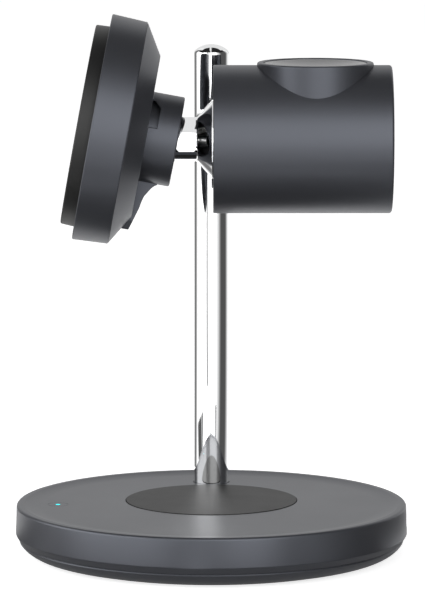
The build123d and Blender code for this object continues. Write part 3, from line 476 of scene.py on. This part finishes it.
def glowing_lens(name, base):
    """Clear light pipe that is lit from inside."""
    finish = Finish(name)
    grain = finish.noise(0.4 * MM, 1.0)
    return finish.surface(
        Base_Color=shade(base, 0.15),
        Roughness=0.3 + 0.1 * grain,
        Specular_IOR_Level=0.1,
        Emission_Color=finish.mix(grain, base, shade(base, 1.3)),
        Emission_Strength=1.6,
    )


def finish_recipes(colours):
    """How each of the record's slots is made: its function and that function's values."""
    moulding = slate_moulding, colours.moulding, colours.moulding_roughness
    return {
        "base_shell": (*moulding, 0.9),
        "head_shell": (*moulding, 0.85),
        "drum_shell": (*moulding, 0.85),
        "inlay": (soft_rubber, colours.inlay, 0.5, 0.27),
        "pad": (soft_rubber, colours.pad, 0.46, 0.42),
        "rubber": (soft_rubber, colours.rubber, 0.7, 0.3),
        "puck": (plain_plastic, colours.puck, 0.2),
        "chrome": (polished_chrome, colours.chrome),
        "lens": (glowing_lens, colours.light),
        "tongue": (contact_tongue, colours.dark, colours.gold),
        "steel": (plain_metal, colours.steel, 0.35, 0.4 * MM),
        "screw_steel": (plain_metal, shade(colours.steel, 0.7), 0.3, 0.2 * MM),
        "cast_metal": (plain_metal, shade(colours.steel, 0.8), 0.5, 0.8 * MM),
        "magnet": (plain_metal, shade(colours.steel, 1.2), 0.22, 1.5 * MM),
        "copper": (plain_metal, colours.copper, 0.3, 0.3 * MM),
        "ferrite": (plain_plastic, shade(colours.dark, 0.7), 0.6),
        "board": (plain_plastic, colours.board, 0.35),
        "chips": (plain_plastic, shade(colours.dark, 0.8), 0.4),
        "inner_plastic": (plain_plastic, colours.dark, 0.5),
        "wire": (soft_rubber, shade(colours.rubber, 1.4), 0.55, 0.4),
    }


def finish_for(slot):
    """The material of a slot, made when it is first asked for."""
    name = "finish_" + slot
    if name not in bpy.data.materials:
        maker, *values = finish_recipes(bpy.context.scene.stand_colours)[slot]
        maker(name, *values)
    return bpy.data.materials[name]


# Outlines, in millimetres

def rounded(corners, spacing=2.5):
    """Closed outline through corners (a, b) or (a, b, radius), which become arcs.

    Long straight stretches are divided, apart from one that runs along the axis of a turned shape.
    """
    line = []
    for n, corner in enumerate(corners):
        here = Vector(corner[:2])
        if len(corner) == 2:
            line.append(here)
            continue
        back = (Vector(corners[n - 1][:2]) - here).normalized()
        ahead = (Vector(corners[(n + 1) % len(corners)][:2]) - here).normalized()
        half = back.angle(ahead) / 2
        centre = here + (back + ahead).normalized() * corner[2] / sin(half)
        reach = corner[2] / tan(half)
        line += arc(here + back * reach, here + ahead * reach, centre)
    divided = []
    for start, end in zip(line, line[1:] + line[:1]):
        pieces = ceil((end - start).length / spacing) if start[0] or end[0] else 1
        divided += [start.lerp(end, n / pieces) for n in range(pieces)]
    return divided


def arc(start, end, centre, step=radians(11)):
    """Points from start to end round a centre."""
    first, last = Vector(start) - Vector(centre), Vector(end) - Vector(centre)
    turn = first.angle(last)
    count = max(2, ceil(turn / step))
    return [
        Vector(centre) + (first * sin(turn * (1 - n / count)) + last * sin(turn * n / count)) / sin(turn)
        for n in range(count + 1)
    ]


def bulge(start, end, height):
    """Points of an arc that stands out by height to the right of the way from start to end."""
    start, end = Vector(start), Vector(end)
    chord = end - start
    radius = (chord.length_squared / 4 + height ** 2) / (2 * abs(height))
    side = Vector((-chord.y, chord.x)).normalized() * (1 if height > 0 else -1)
    return arc(start, end, (start + end) / 2 + side * (radius - abs(height)), radians(4))


def spline(points, first, last):
    """Smooth line through points, with the directions it starts and ends in."""
    points = [Vector(point) for point in points]
    slopes = [(after - before) / 2 for before, after in zip(points, points[2:])]
    slopes = [
        Vector(first).normalized() * (points[1] - points[0]).length, *slopes,
        Vector(last).normalized() * (points[-1] - points[-2]).length,
    ]
    line = []
    for n in range(len(points) - 1):
        line += interpolate_bezier(
            points[n], points[n] + slopes[n] / 3, points[n + 1] - slopes[n + 1] / 3, points[n + 1], 10,
        )[:-1]
    return [Vector(point[:2]) for point in line] + [points[-1]]


def rod(radius, bottom, top):
    """Outline of a plain turned rod."""
    return rounded([(0, bottom), (radius, bottom), (radius, top), (0, top)])


def hole(radius, bottom, top, edge):
    """Outline of a turned cutter whose mouth at height top leaves a rounded edge."""
    mouth = arc((radius, top - edge), (radius + edge, top), (radius + edge, top - edge))
    return rounded([(0, bottom), (radius, bottom), *mouth, (radius + edge, top + past),
                    (0, top + past)])


def rectangle(left, right, bottom, top):
    """The four corners, from the left of the bottom on."""
    return [(left, bottom), (right, bottom), (right, top), (left, top)]


def slot_outline(width, height, middle):
    """Outline with round ends, as (across, up) about a point at height middle."""
    across, up = width / 2, height / 2
    radius = up * 0.999         # just short of a half circle
    return rounded([(*corner, radius)
                    for corner in rectangle(-across, across, middle - up, middle + up)])


# Solids

def placement(origin, x, y, z):
    """Matrix of a frame with its origin in millimetres and its three directions."""
    rows = Matrix((x, y, z)).transposed().to_4x4()
    return Matrix.Translation(Vector(origin) * MM) @ rows


def add(name, data):
    """New object in the scene."""
    obj = bpy.data.objects.new(name, data)
    bpy.context.scene.collection.objects.link(obj)
    return obj


def solid(name, mesh, place):
    bmesh.ops.recalc_face_normals(mesh, faces=mesh.faces)
    data = bpy.data.meshes.new(name)
    mesh.to_mesh(data)
    mesh.free()
    data.transform(place)
    return add(name, data)


def lathe(name, outline, place, turns=240):
    """Solid turned from a closed outline of (radius, height) in millimetres."""
    mesh = bmesh.new()
    circle = [(cos(2 * pi * n / turns), sin(2 * pi * n / turns)) for n in range(turns)]
    rings = []
    for radius, height in outline:
        if radius < 1e-6:
            rings.append([mesh.verts.new((0.0, 0.0, height * MM))] * turns)
        else:
            rings.append([mesh.verts.new((radius * x * MM, radius * y * MM, height * MM))
                          for x, y in circle])
    for lower, upper in zip(rings, rings[1:] + rings[:1]):
        for n in range(turns):
            after = (n + 1) % turns
            corners = list(dict.fromkeys((lower[n], lower[after], upper[after], upper[n])))
            if len(corners) > 2:
                mesh.faces.new(corners)
    return solid(name, mesh, place)


def prism(name, outline, place, start, end, edge=0.0):
    """Solid with a closed outline of (x, y) from height start to end, its rims rounded by edge."""
    mesh = bmesh.new()
    caps = [[mesh.verts.new((x * MM, y * MM, height * MM)) for x, y in outline]
            for height in (start, end)]
    rims = [line for cap in caps for line in mesh.faces.new(cap).edges]
    count = len(outline)
    for n in range(count):
        after = (n + 1) % count
        mesh.faces.new((caps[0][n], caps[0][after], caps[1][after], caps[1][n]))
    if edge:
        bmesh.ops.recalc_face_normals(mesh, faces=mesh.faces)
        bmesh.ops.bevel(mesh, geom=rims, offset=edge * MM, segments=3, profile=0.5,
                        affect="EDGES", clamp_overlap=False)
    return solid(name, mesh, place)


def combine(obj, operation, *tools):
    """Cut obj by tools or join it with them; the tools are then removed."""
    for tool in tools:
        change = obj.modifiers.new("combine", "BOOLEAN")
        change.operation = operation
        change.solver = "EXACT"
        change.object = tool
        graph = bpy.context.evaluated_depsgraph_get()
        result = bpy.data.meshes.new_from_object(obj.evaluated_get(graph))
        obj.modifiers.clear()
        obj.data = result
        bpy.data.objects.remove(tool)
    return obj


def dress(obj, slot, body, *nodes, finish=None):
    """Shade a piece, give it its finish, let it ride on a body and stand for CAD nodes."""
    obj.data.materials.clear()
    obj.data.materials.append(finish or finish_for(slot))
    obj.data.shade_smooth()
    obj.data.set_sharp_from_angle(angle=sharp_bend)
    normals = obj.modifiers.new("normals", "WEIGHTED_NORMAL")
    normals.keep_sharp = True
    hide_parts(*nodes)
    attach(obj, body)
    return obj


def millimetres(group):
    """The sizes of a property group in millimetres."""
    return SimpleNamespace(**{name: getattr(group, name) / MM for name in group.__annotations__})


# Operators

class STAND_OT_base(bpy.types.Operator):
    """Build the base: housing, bottom cover, rubber ring, inlay pad, light and socket"""

    bl_idname = "stand.base"
    bl_label = "Base"

    def execute(self, context):
        size = millimetres(context.scene.stand_sizes)
        flat = Matrix.Identity(4)
        self.housing(size, flat)
        self.cover(size, flat)
        foot = lathe("foot_rubber_ring", rounded([
            (size.foot_radius - size.foot_width, size.foot_top), (size.foot_radius, size.foot_top),
            (size.foot_radius, 0, 0.3), (size.foot_radius - size.foot_width, 0, 0.3),
        ]), flat)
        dress(foot, "rubber", "root", "foot_ring")
        inlay = lathe("inlay_soft_pad", rounded([
            (0, size.inlay_low), (size.inlay_radius, size.inlay_low),
            (size.inlay_radius, size.inlay_top, 0.12), (0, size.inlay_top),
        ]), placement((0, size.inlay_y, 0), X, Y, Z))
        dress(inlay, "inlay", "root", "inlay_pad")
        self.light(size)
        self.socket(size)
        return {"FINISHED"}

    def housing(self, size, flat):
        dish = size.base_height - size.dish_depth
        under = dish - size.plate
        rim = size.wall_radius - tan(wall_draft) * (size.base_height - size.wall_foot)
        lip = rim - size.lip_width
        bend_start, bend_end = 0.55, 0.2      # where the dish's curve bends, as shares of its run
        easing = interpolate_bezier(
            Vector((lip - size.dish_run, dish)), Vector((lip - bend_start * size.dish_run, dish)),
            Vector((lip - bend_end * size.dish_run, dish + bend_start * size.dish_depth)),
            Vector((lip, size.base_height)), 16,
        )
        inner = size.wall_radius - size.wall
        body = lathe("base_housing_shell", rounded([
            (0, dish), *[tuple(point[:2]) for point in easing],
            (rim, size.base_height, 0.8), (size.wall_radius, size.wall_foot, 0.7),
            (size.cover_radius, size.parting, 0.12), (inner, size.parting), (inner, under), (0, under),
        ]), flat, fine_turns)
        pad_hole = hole(size.inlay_radius + seat_gap, size.inlay_low, dish, 0.12)
        lens_hole = hole(size.lens_radius + slip, under - past, dish, 0.05)
        groove_reach, groove_depth = 0.07, 0.05
        groove = rectangle(size.touch_radius - groove_reach, size.touch_radius + groove_reach,
                           dish - groove_depth, dish + past)
        lens_place = placement((size.lens_x, 0, 0), X, Y, Z)
        middle = (size.inlet_low + size.inlet_top) / 2
        mouth = slot_outline(size.inlet_width + 2 * seat_gap,
                             size.inlet_top - size.inlet_low + 2 * seat_gap, middle)
        combine(
            body, "DIFFERENCE",
            lathe("pad_hole", pad_hole, placement((0, size.inlay_y, 0), X, Y, Z)),
            lathe("post_hole", hole(size.post_radius + seat_gap, under - past, dish, 0.15),
                  placement((0, size.post_y, 0), X, Y, Z), turns=120),
            lathe("lens_hole", lens_hole, lens_place, turns=48),
            lathe("touch_groove", groove, lens_place, turns=96),
            prism("socket_mouth", mouth, placement((0, 0, 0), Y, Z, X), inner - 3 * past,
                  size.wall_radius + past),
        )
        dress(body, "base_shell", "root", "base_housing")

    def cover(self, size, flat):
        flat_radius = size.cover_radius - size.bevel_run
        groove_in = size.foot_radius - size.foot_width - slip
        groove_out = size.foot_radius + slip
        lip = size.wall_radius - size.wall - slip
        floor = size.cover_lift + size.cover_wall
        rib, rib_top = lip - size.cover_rib_width, size.parting + size.cover_rib_height
        seam_in, seam_down = 0.3, 0.45        # chamfer under the parting line
        bevel = bulge((flat_radius, size.cover_lift), (size.cover_radius, size.parting - seam_down),
                      size.bevel_bulge)
        body = lathe("base_bottom_shell", rounded([
            (0, size.cover_lift), (groove_in, size.cover_lift, 0.15), (groove_in, size.foot_top),
            (groove_out, size.foot_top), (groove_out, size.cover_lift, 0.15), *bevel,
            (size.cover_radius - seam_in, size.parting), (lip, size.parting), (lip, rib_top),
            (rib, rib_top), (rib, size.parting), (flat_radius, floor), (0, floor),
        ]), flat, fine_turns)
        dress(body, "base_shell", "root", "base_bottom_cover")

    def light(self, size):
        flange = size.base_height - size.dish_depth - size.plate
        flange_radius, flange_foot = 2.0, flange - 1.2
        lens = lathe("indicator_light_pipe", rounded([
            (0, flange_foot), (flange_radius, flange_foot, 0.1), (flange_radius, flange, 0.1),
            (size.lens_radius, flange), (size.lens_radius, size.lens_top - 0.05, 0.1),
            (0, size.lens_top),
        ]), placement((size.lens_x, 0, 0), X, Y, Z), turns=48)
        dress(lens, "lens", "root", "indicator_lens")

    def socket(self, size):
        along = placement((0, 0, 0), Y, Z, X)
        middle = (size.inlet_low + size.inlet_top) / 2
        height = size.inlet_top - size.inlet_low
        start = size.inlet_x - size.inlet_length
        back, wall = 1.2, 0.3
        tongue_across, tongue_up, tongue_length, tongue_edge = 3.35, 0.35, 4.9, 0.08
        shell = prism("socket_shell", slot_outline(size.inlet_width, height, middle), along,
                      start, size.inlet_x, 0.1)
        bore = slot_outline(size.inlet_width - 2 * wall, height - 2 * wall, middle)
        combine(shell, "DIFFERENCE",
                prism("socket_bore", bore, along, start + back, size.inlet_x + past))
        dress(shell, "steel", "root", "usb_c_inlet")
        bar = rectangle(-tongue_across, tongue_across, middle - tongue_up, middle + tongue_up)
        tongue = prism("socket_tongue", rounded([(*corner, tongue_edge) for corner in bar]), along,
                       start + back, start + back + tongue_length, tongue_edge)
        dress(tongue, "steel", "root", "usb_c_inlet", finish=finish_for("tongue"))


class STAND_OT_arm(bpy.types.Operator):
    """Build the chrome hub that carries the head and the drum, and plate the post"""

    bl_idname = "stand.arm"
    bl_label = "Arm"

    def execute(self, context):
        size = millimetres(context.scene.stand_sizes)
        cone_rim = 0.3
        hub = lathe("arm_hub_turned", rounded([
            (size.tube_bore, size.tube_start), (size.tube_radius, size.tube_start, 0.15),
            (size.tube_radius, size.cone_start, 0.8),
            (size.cone_radius, size.drum_start - cone_rim, 0.12),
            (size.cone_radius, size.drum_start), (size.spigot_radius, size.drum_start),
            (size.spigot_radius, size.spigot_end), (size.tube_bore, size.spigot_end),
        ], spacing=1.2), placement((0, 0, size.arm_height), Y, Z, X))
        combine(hub, "DIFFERENCE", stub_tool(size, slip, size.cone_radius + slip))
        dress(hub, "chrome", "root", "arm_hub")
        post = bpy.data.objects["post"]
        post.material_slots[0].material = finish_for("chrome")
        return {"FINISHED"}


def stub_tool(size, gap, reach):
    """Cutter round the stub, from the arm's axis towards the post."""
    return lathe("stub_tool", rod(size.stub_radius + gap, 0, reach),
                 placement((0, 0, size.arm_height), Z, X, Y), turns=120)


class STAND_OT_drum(bpy.types.Operator):
    """Build the drum: shell, end cap, round seat and puck"""

    bl_idname = "stand.drum"
    bl_label = "Drum"

    def execute(self, context):
        size = millimetres(context.scene.stand_sizes)
        along = placement((0, 0, size.arm_height), Y, Z, X)
        upright = placement((size.puck_x, 0, 0), X, Y, Z)
        bore = size.drum_radius - size.drum_wall
        shell = lathe("drum_body", rounded([
            (size.spigot_radius + slip, size.drum_start), (size.drum_radius, size.drum_start, 0.35),
            (size.drum_radius, size.drum_end, 0.8), (bore, size.drum_end, 0.15),
            (bore, size.drum_start + size.drum_wall),
            (size.boss_radius, size.drum_start + size.drum_wall), (size.boss_radius, size.boss_end),
            (size.spigot_radius + slip, size.boss_end),
        ]), along, fine_turns)
        seat_hole = rod(size.seat_radius + slip, size.seat_low, size.seat_top + past)
        combine(shell, "DIFFERENCE", stub_tool(size, notch_gap, 2 * size.drum_radius),
                lathe("seat_hole", seat_hole, upright))
        dress(shell, "drum_shell", "root", "drum_shell")
        disc, plug = size.cap_face - size.cap_wall, size.cap_radius - size.cap_plug_wall
        cap = lathe("drum_end_disc", rounded([
            (0, disc), (plug, disc), (plug, size.cap_start),
            (size.cap_radius, size.cap_start), (size.cap_radius, size.cap_face, 0.2), (0, size.cap_face),
        ]), along)
        dress(cap, "drum_shell", "root", "drum_end_cap")
        inner = size.puck_radius + slip
        seat = lathe("puck_seat_ring", rounded([
            (inner, size.seat_low), (size.seat_radius, size.seat_low),
            (size.seat_radius, size.seat_top, 0.5), (inner, size.seat_top, 0.4),
        ]), upright)
        dress(seat, "drum_shell", "root", "puck_ring")
        self.puck(size, upright)
        return {"FINISHED"}

    def puck(self, size, upright):
        rim, step = size.puck_radius - size.puck_rim, 0.2
        bore = rim - step
        ceiling = size.puck_top - size.puck_dish - size.puck_wall
        ball = (rim ** 2 + size.puck_dish ** 2) / (2 * size.puck_dish)
        hollow = arc((rim, size.puck_top), (0, size.puck_top - size.puck_dish),
                     (0, size.puck_top - size.puck_dish + ball), radians(0.6))
        hollow[-1].x = 0.0                    # the last point lies on the axis
        puck = lathe("puck_hollow_face", rounded([
            (0, ceiling), (bore, ceiling), (bore, size.seat_low),
            (size.puck_radius, size.seat_low), (size.puck_radius, size.puck_top, 0.4), *hollow,
        ]), upright)
        dress(puck, "puck", "root", "charging_puck")


class STAND_OT_head(bpy.types.Operator):
    """Build the tilting head: rear cover with its fin and pockets, ring and front pad"""

    bl_idname = "stand.head"
    bl_label = "Head"

    def execute(self, context):
        size = millimetres(context.scene.stand_sizes)
        hinge = Vector(joint["pos_m"]) / MM
        across = placement(hinge, head_up, Y, head_out)
        section = placement(hinge, head_up, head_out, -Y)
        self.rear_cover(size, across, section)
        bore = size.ring_rear_radius - size.ring_wall
        root = size.pad_radius + size.pad_taper
        mouth = root + seat_gap
        ledge = size.ring_front - size.ring_ledge
        ring = lathe("head_band", rounded([
            (bore, size.ring_rear), (size.ring_rear_radius, size.ring_rear, 0.05),
            (size.ring_front_radius, size.ring_front, 0.35), (mouth, size.ring_front, 0.12),
            (mouth, ledge), (bore, ledge),
        ]), across, fine_turns)
        dress(ring, "head_shell", "head", "head_ring")
        flange, flange_rear = ledge - slip, ledge - slip - size.pad_flange_height
        inner, outer = size.pad_radius - size.pad_wall, root + size.pad_flange_width
        pad = lathe("head_soft_pad", rounded([
            (0, size.pad_front - size.pad_wall), (inner, size.pad_front - size.pad_wall),
            (inner, flange_rear), (outer, flange_rear), (outer, flange),
            (root, flange), (size.pad_radius, size.pad_front, 0.5), (0, size.pad_front),
        ]), across, fine_turns)
        dress(pad, "pad", "head", "front_pad")
        return {"FINISHED"}

    def rear_cover(self, size, across, section):
        lip = size.ring_rear_radius - size.ring_wall - slip
        rib_width, rib_height, rib_foot = 1.2, 2, 0.6
        rib, rib_top = lip - rib_width, size.ring_rear + rib_height
        floor, floor_inset = size.back_face + size.back_wall, 1
        cover = lathe("head_back_shell", rounded([
            (size.hub_bore, size.hub_rear, 0.3), (size.hub_radius, size.hub_rear, 0.5),
            (size.hub_radius, size.back_face, 0.3), (size.back_radius, size.back_face, 0.5),
            (size.ring_rear_radius, size.ring_rear, 0.12), (lip, size.ring_rear),
            (lip, rib_top), (rib, rib_top), (rib, size.ring_rear + rib_foot),
            (size.back_radius - floor_inset, floor), (size.hub_bore, floor),
        ]), across, fine_turns)
        combine(cover, "UNION", self.fin(size, across, section))
        for side in (-1, 1):
            combine(cover, "DIFFERENCE", self.pocket(size, across, section, side))
        dress(cover, "head_shell", "head", "head_rear_cover")

    def fin(self, size, across, section):
        """Curved fin below the hub, whose free end narrows to a toe; points are (up, along the axis)."""
        curve = spline([(-12.5, -1.05), (-15.55, 1.5), (-17.4, 2.2), (-19.9, 2.7)],
                       (-0.35, 0.94), (-0.96, 0.28))
        fin = prism("fin", rounded([
            *curve, (-26.1, 4.5, 0.25), (-26.1, 6.7), (-25.8, 7.6), (-22.0, 5.4), (-11.2, 5.4),
            (-11.2, -1.05),
        ]), section, -size.fin_width / 2, size.fin_width / 2, 0.2)
        toe = [(-22.9, 2.6), (-23.6, 2.36), (-30.0, -0.2), (-30.0, 4.0), (-22.9, 4.0)]
        for side in (-1, 1):
            wedge = [(height, side * reach) for height, reach in toe]
            combine(fin, "DIFFERENCE", prism("toe", wedge, across, 0, size.hub_radius))
        return fin

    def pocket(self, size, across, section, side):
        """Cutter of the hollow in one side of the hub, down to a round floor."""
        top = size.back_face - slip
        outline = rounded([(3.65, 1.65, 0.15), (9.15, 1.65, 0.15), (11.2, top), (3.65, top)])
        near, far, core_top = 3.0, 2 * size.hub_radius, 8
        tool = prism("pocket", outline, section, *sorted((side * near, side * far)))
        core = lathe("core", rod(size.pocket_core, size.hub_rear - past, core_top), across, turns=120)
        return combine(tool, "DIFFERENCE", core)


class STAND_OT_inner(bpy.types.Operator):
    """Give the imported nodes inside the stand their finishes"""

    bl_idname = "stand.inner"
    bl_label = "Inner parts"

    def execute(self, context):
        size = millimetres(context.scene.stand_sizes)
        copper = context.scene.stand_colours.copper
        hinge = Vector(joint["pos_m"])
        coils = {
            "base_coil": (Vector((0, size.inlay_y, 0)) * MM, Z),
            "puck_coil": (Vector((size.puck_x, 0, 0)) * MM, Z),
            "head_coil": (hinge, head_out),
        }
        for node in frame["nodes"]:
            slot = bpy.data.objects[node].material_slots[0]
            if node in coils:
                slot.material = coil_winding("winding_" + node, copper, *coils[node])
            elif not slot.material.name.startswith("finish_"):
                slot.material = finish_for(slot.material.name.split(".")[0])
        return {"FINISHED"}


def middle_and_half(angles):
    """Middle and half width, in radians, of a span given in degrees."""
    return radians(sum(angles)) / 2, radians(angles[1] - angles[0]) / 2


def softbox(name, turns, rises, distance, level):
    """Lamp that fills the view between two turns and two rises in degrees, seen from the stand.

    A turn is measured from the camera's side towards +X, and a level of 1 looks white.
    """
    turn, half_turn = middle_and_half(turns)
    rise, half_rise = middle_and_half(rises)
    lamp = bpy.data.lights.new(name, "AREA")
    lamp.shape = "RECTANGLE"
    lamp.size = 2 * distance * tan(half_turn)
    lamp.size_y = 2 * distance * tan(half_rise)
    lamp.energy = level * pi * lamp.size * lamp.size_y
    obj = add(name, lamp)
    flat = distance * cos(rise)
    place = Vector((flat * sin(turn), -flat * cos(turn), distance * sin(rise)))
    stand_middle = Vector((0.0, 0.0, 0.1))
    obj.location = stand_middle + place
    obj.rotation_euler = (-place).to_track_quat("-Z", "Y").to_euler()
    obj.visible_camera = False


def sheet(name, verts, faces, finish):
    """Thin mesh of the stage, with its finish."""
    mesh = bpy.data.meshes.new(name)
    mesh.from_pydata(verts, [], faces)
    mesh.materials.append(finish.material)
    obj = add(name, mesh)
    return obj


def card(name, verts, faces, glow):
    """Sheet of light of a given strength that only reflections see."""
    obj = sheet(name, verts, faces, glow)
    for ray in ("camera", "diffuse", "shadow", "transmission"):
        setattr(obj, "visible_" + ray, False)


def glow_finish(name, strength):
    """Emission finish; strength is a number, or a function of the finish where it varies."""
    finish = Finish(name)
    level = strength(finish) if callable(strength) else strength
    return finish.output(finish.node("ShaderNodeEmission", None, {"Strength": level}))


def flag(name, rows, turns, grey, softness, middle_y=0.0):
    """Card made of rings of (radius, height) swept between two turns about x = 0, y = middle_y.

    Its tone runs from white at both ends of the sweep to grey in the middle. A grey above 1 makes a
    light of it. Turns and softness are in degrees.
    """
    steps = 24
    middle, half = middle_and_half(turns)
    verts = []
    for step in range(steps + 1):
        turn = middle - half + 2 * half * step / steps
        verts += [(radius * sin(turn), middle_y - radius * cos(turn), height)
                  for radius, height in rows]
    count = len(rows)
    faces = [
        (step * count + n, step * count + n + 1, (step + 1) * count + n + 1, (step + 1) * count + n)
        for step in range(steps) for n in range(count - 1)
    ]

    def tone(finish):
        x, y, z = finish.axes()
        off = abs(x.math("ARCTAN2", x, middle_y - y) - middle)
        return finish.node(
            "ShaderNodeMapRange", {"interpolation_type": "SMOOTHSTEP"},
            {"Value": off, "From Min": half - radians(softness), "From Max": half,
             "To Min": grey, "To Max": 1.0},
        )

    card(name, verts, faces, glow_finish(name, tone))


class STAND_OT_stage(bpy.types.Operator):
    """Set up the camera, the lamps, the floor and the white room"""

    bl_idname = "stand.stage"
    bl_label = "Stage"

    def execute(self, context):
        stage = context.scene.stand_stage
        self.camera(context.scene, stage)
        rises, distance = (-34, 41), 1.5
        for name, turns in (("right_softbox", (-10, 58)), ("left_softbox", (-112, -24))):
            softbox(name, turns, rises, distance, stage.softbox_level)
        self.side_flags()
        self.base_flags()
        self.overhead_flags()
        self.room(context, stage)
        self.floor(stage)
        return {"FINISHED"}

    def side_flags(self):
        """Dark cards round the stand, for the chrome's lines and the dark sides of matte walls."""
        distance, top, bottom = 0.5, 0.7, 0.001
        wide = [(0.08, bottom), (distance, bottom), (distance, top)]
        narrow = [(0.1, bottom), (distance, bottom), (distance, top)]
        post_y = 0.04
        flag("right_flag", wide, (38, 142), 0.085, 36)
        flag("left_flag", narrow, (-156, -104), 0.18, 20, post_y)
        flag("gap_flag", wide, (-35, -27), 0.0, 2)

    def base_flags(self):
        """Cards on the floor: dark for the base's bevel, bright strips for its wall, and a ring of painted shadow
        round the base's foot.
        """
        near = [(0.06, 0.0008), (0.2, 0.0008)]
        flag("front_left_flag", near, (-76, -9), 0.0, 1)
        flag("front_right_flag", near, (-2, 80), 0.0, 1)
        flag("left_end_flag", near, (-112, -76), 0.1, 6)
        strip = [(0.115, 0.001), (0.115, 0.02)]
        flag("wall_light_left", strip, (-74, -11), 3.4, 12)
        flag("wall_light_right", strip, (-1, 34), 3.4, 12)
        # Ring of painted shadow on the floor round the base's foot, seen only in reflections: it stands in for the
        # shade that the lifted floor loses under the base.
        flag("under_flag", [(0.046, 0.0006), (0.06, 0.0006)], (-180, 180), 0.3, 0.06)

    def overhead_flags(self):
        """Two dark cards overhead, with a gap between them that draws a light line in the chrome."""
        front, back, height = -0.23, 0.27, 0.5
        dark = glow_finish("overhead_flag", 0.02)
        for name, start, end in (("left", -0.6, -0.03), ("right", 0.002, 0.6)):
            corners = [(x, y, height) for x, y in rectangle(start, end, front, back)]
            card("overhead_flag_" + name, corners, [(0, 1, 2, 3)], dark)

    def camera(self, scene, stage):
        camera = bpy.data.cameras.new("camera")
        camera.lens = stage.lens
        camera.sensor_width = 36.0
        camera.clip_end = 20.0
        obj = add("camera", camera)
        obj.location = stage.camera_place
        obj.rotation_euler = (pi / 2 - stage.camera_pitch, 0.0, -stage.camera_turn)
        scene.camera = obj
        scene.view_settings.view_transform = "Standard"

    def room(self, context, stage):
        """White background for the camera and reflections, a plain level for matte surfaces."""
        world = bpy.data.worlds.new("white_room")
        context.scene.world = world
        tree = Tree(world)
        level = stage.ambient + (1.0 - stage.ambient) * tree.background_rays()
        sky = tree.node("ShaderNodeBackground", None, {"Strength": level})
        tree.node("ShaderNodeOutputWorld", None, {"Surface": sky})

    def floor(self, stage):
        """White floor that keeps the stand's shadow."""
        finish = Finish("floor")
        matte = finish.node("ShaderNodeBsdfDiffuse", None, {"Color": (0.8, 0.8, 0.8, 1.0)})
        glow = stage.floor_lift * finish.background_rays()
        lift = finish.node("ShaderNodeEmission", None, {"Strength": glow})
        finish.output(finish.node("ShaderNodeAddShader", None, {0: matte, 1: lift}))
        reach = 6.0
        corners = [(x, y, 0) for x, y in rectangle(-reach, reach, -reach, reach)]
        sheet("floor", corners, [(0, 1, 2, 3)], finish)


class STAND_PT_panel(bpy.types.Panel):
    """Lists the steps that dress the stand"""

    bl_idname = "STAND_PT_panel"
    bl_label = "Charging stand"
    bl_space_type = "VIEW_3D"
    bl_region_type = "UI"
    bl_category = "Stand"

    def draw(self, context):
        for step in STEPS:
            self.layout.operator(step.bl_idname)


STEPS = (STAND_OT_base, STAND_OT_arm, STAND_OT_drum, STAND_OT_head, STAND_OT_inner, STAND_OT_stage)
GROUPS = (StandSizes, StandColours, StandStage)


def register():
    for part in (*GROUPS, *STEPS, STAND_PT_panel):
        bpy.utils.register_class(part)
    bpy.types.Scene.stand_sizes = PointerProperty(type=StandSizes)
    bpy.types.Scene.stand_colours = PointerProperty(type=StandColours)
    bpy.types.Scene.stand_stage = PointerProperty(type=StandStage)


def unregister():
    del bpy.types.Scene.stand_stage
    del bpy.types.Scene.stand_colours
    del bpy.types.Scene.stand_sizes
    for part in (STAND_PT_panel, *reversed(STEPS), *reversed(GROUPS)):
        bpy.utils.unregister_class(part)


def main():
    register()
    for step in STEPS:
        group, name = step.bl_idname.split(".")
        getattr(getattr(bpy.ops, group), name)()


if __name__ == "__main__":
    main()
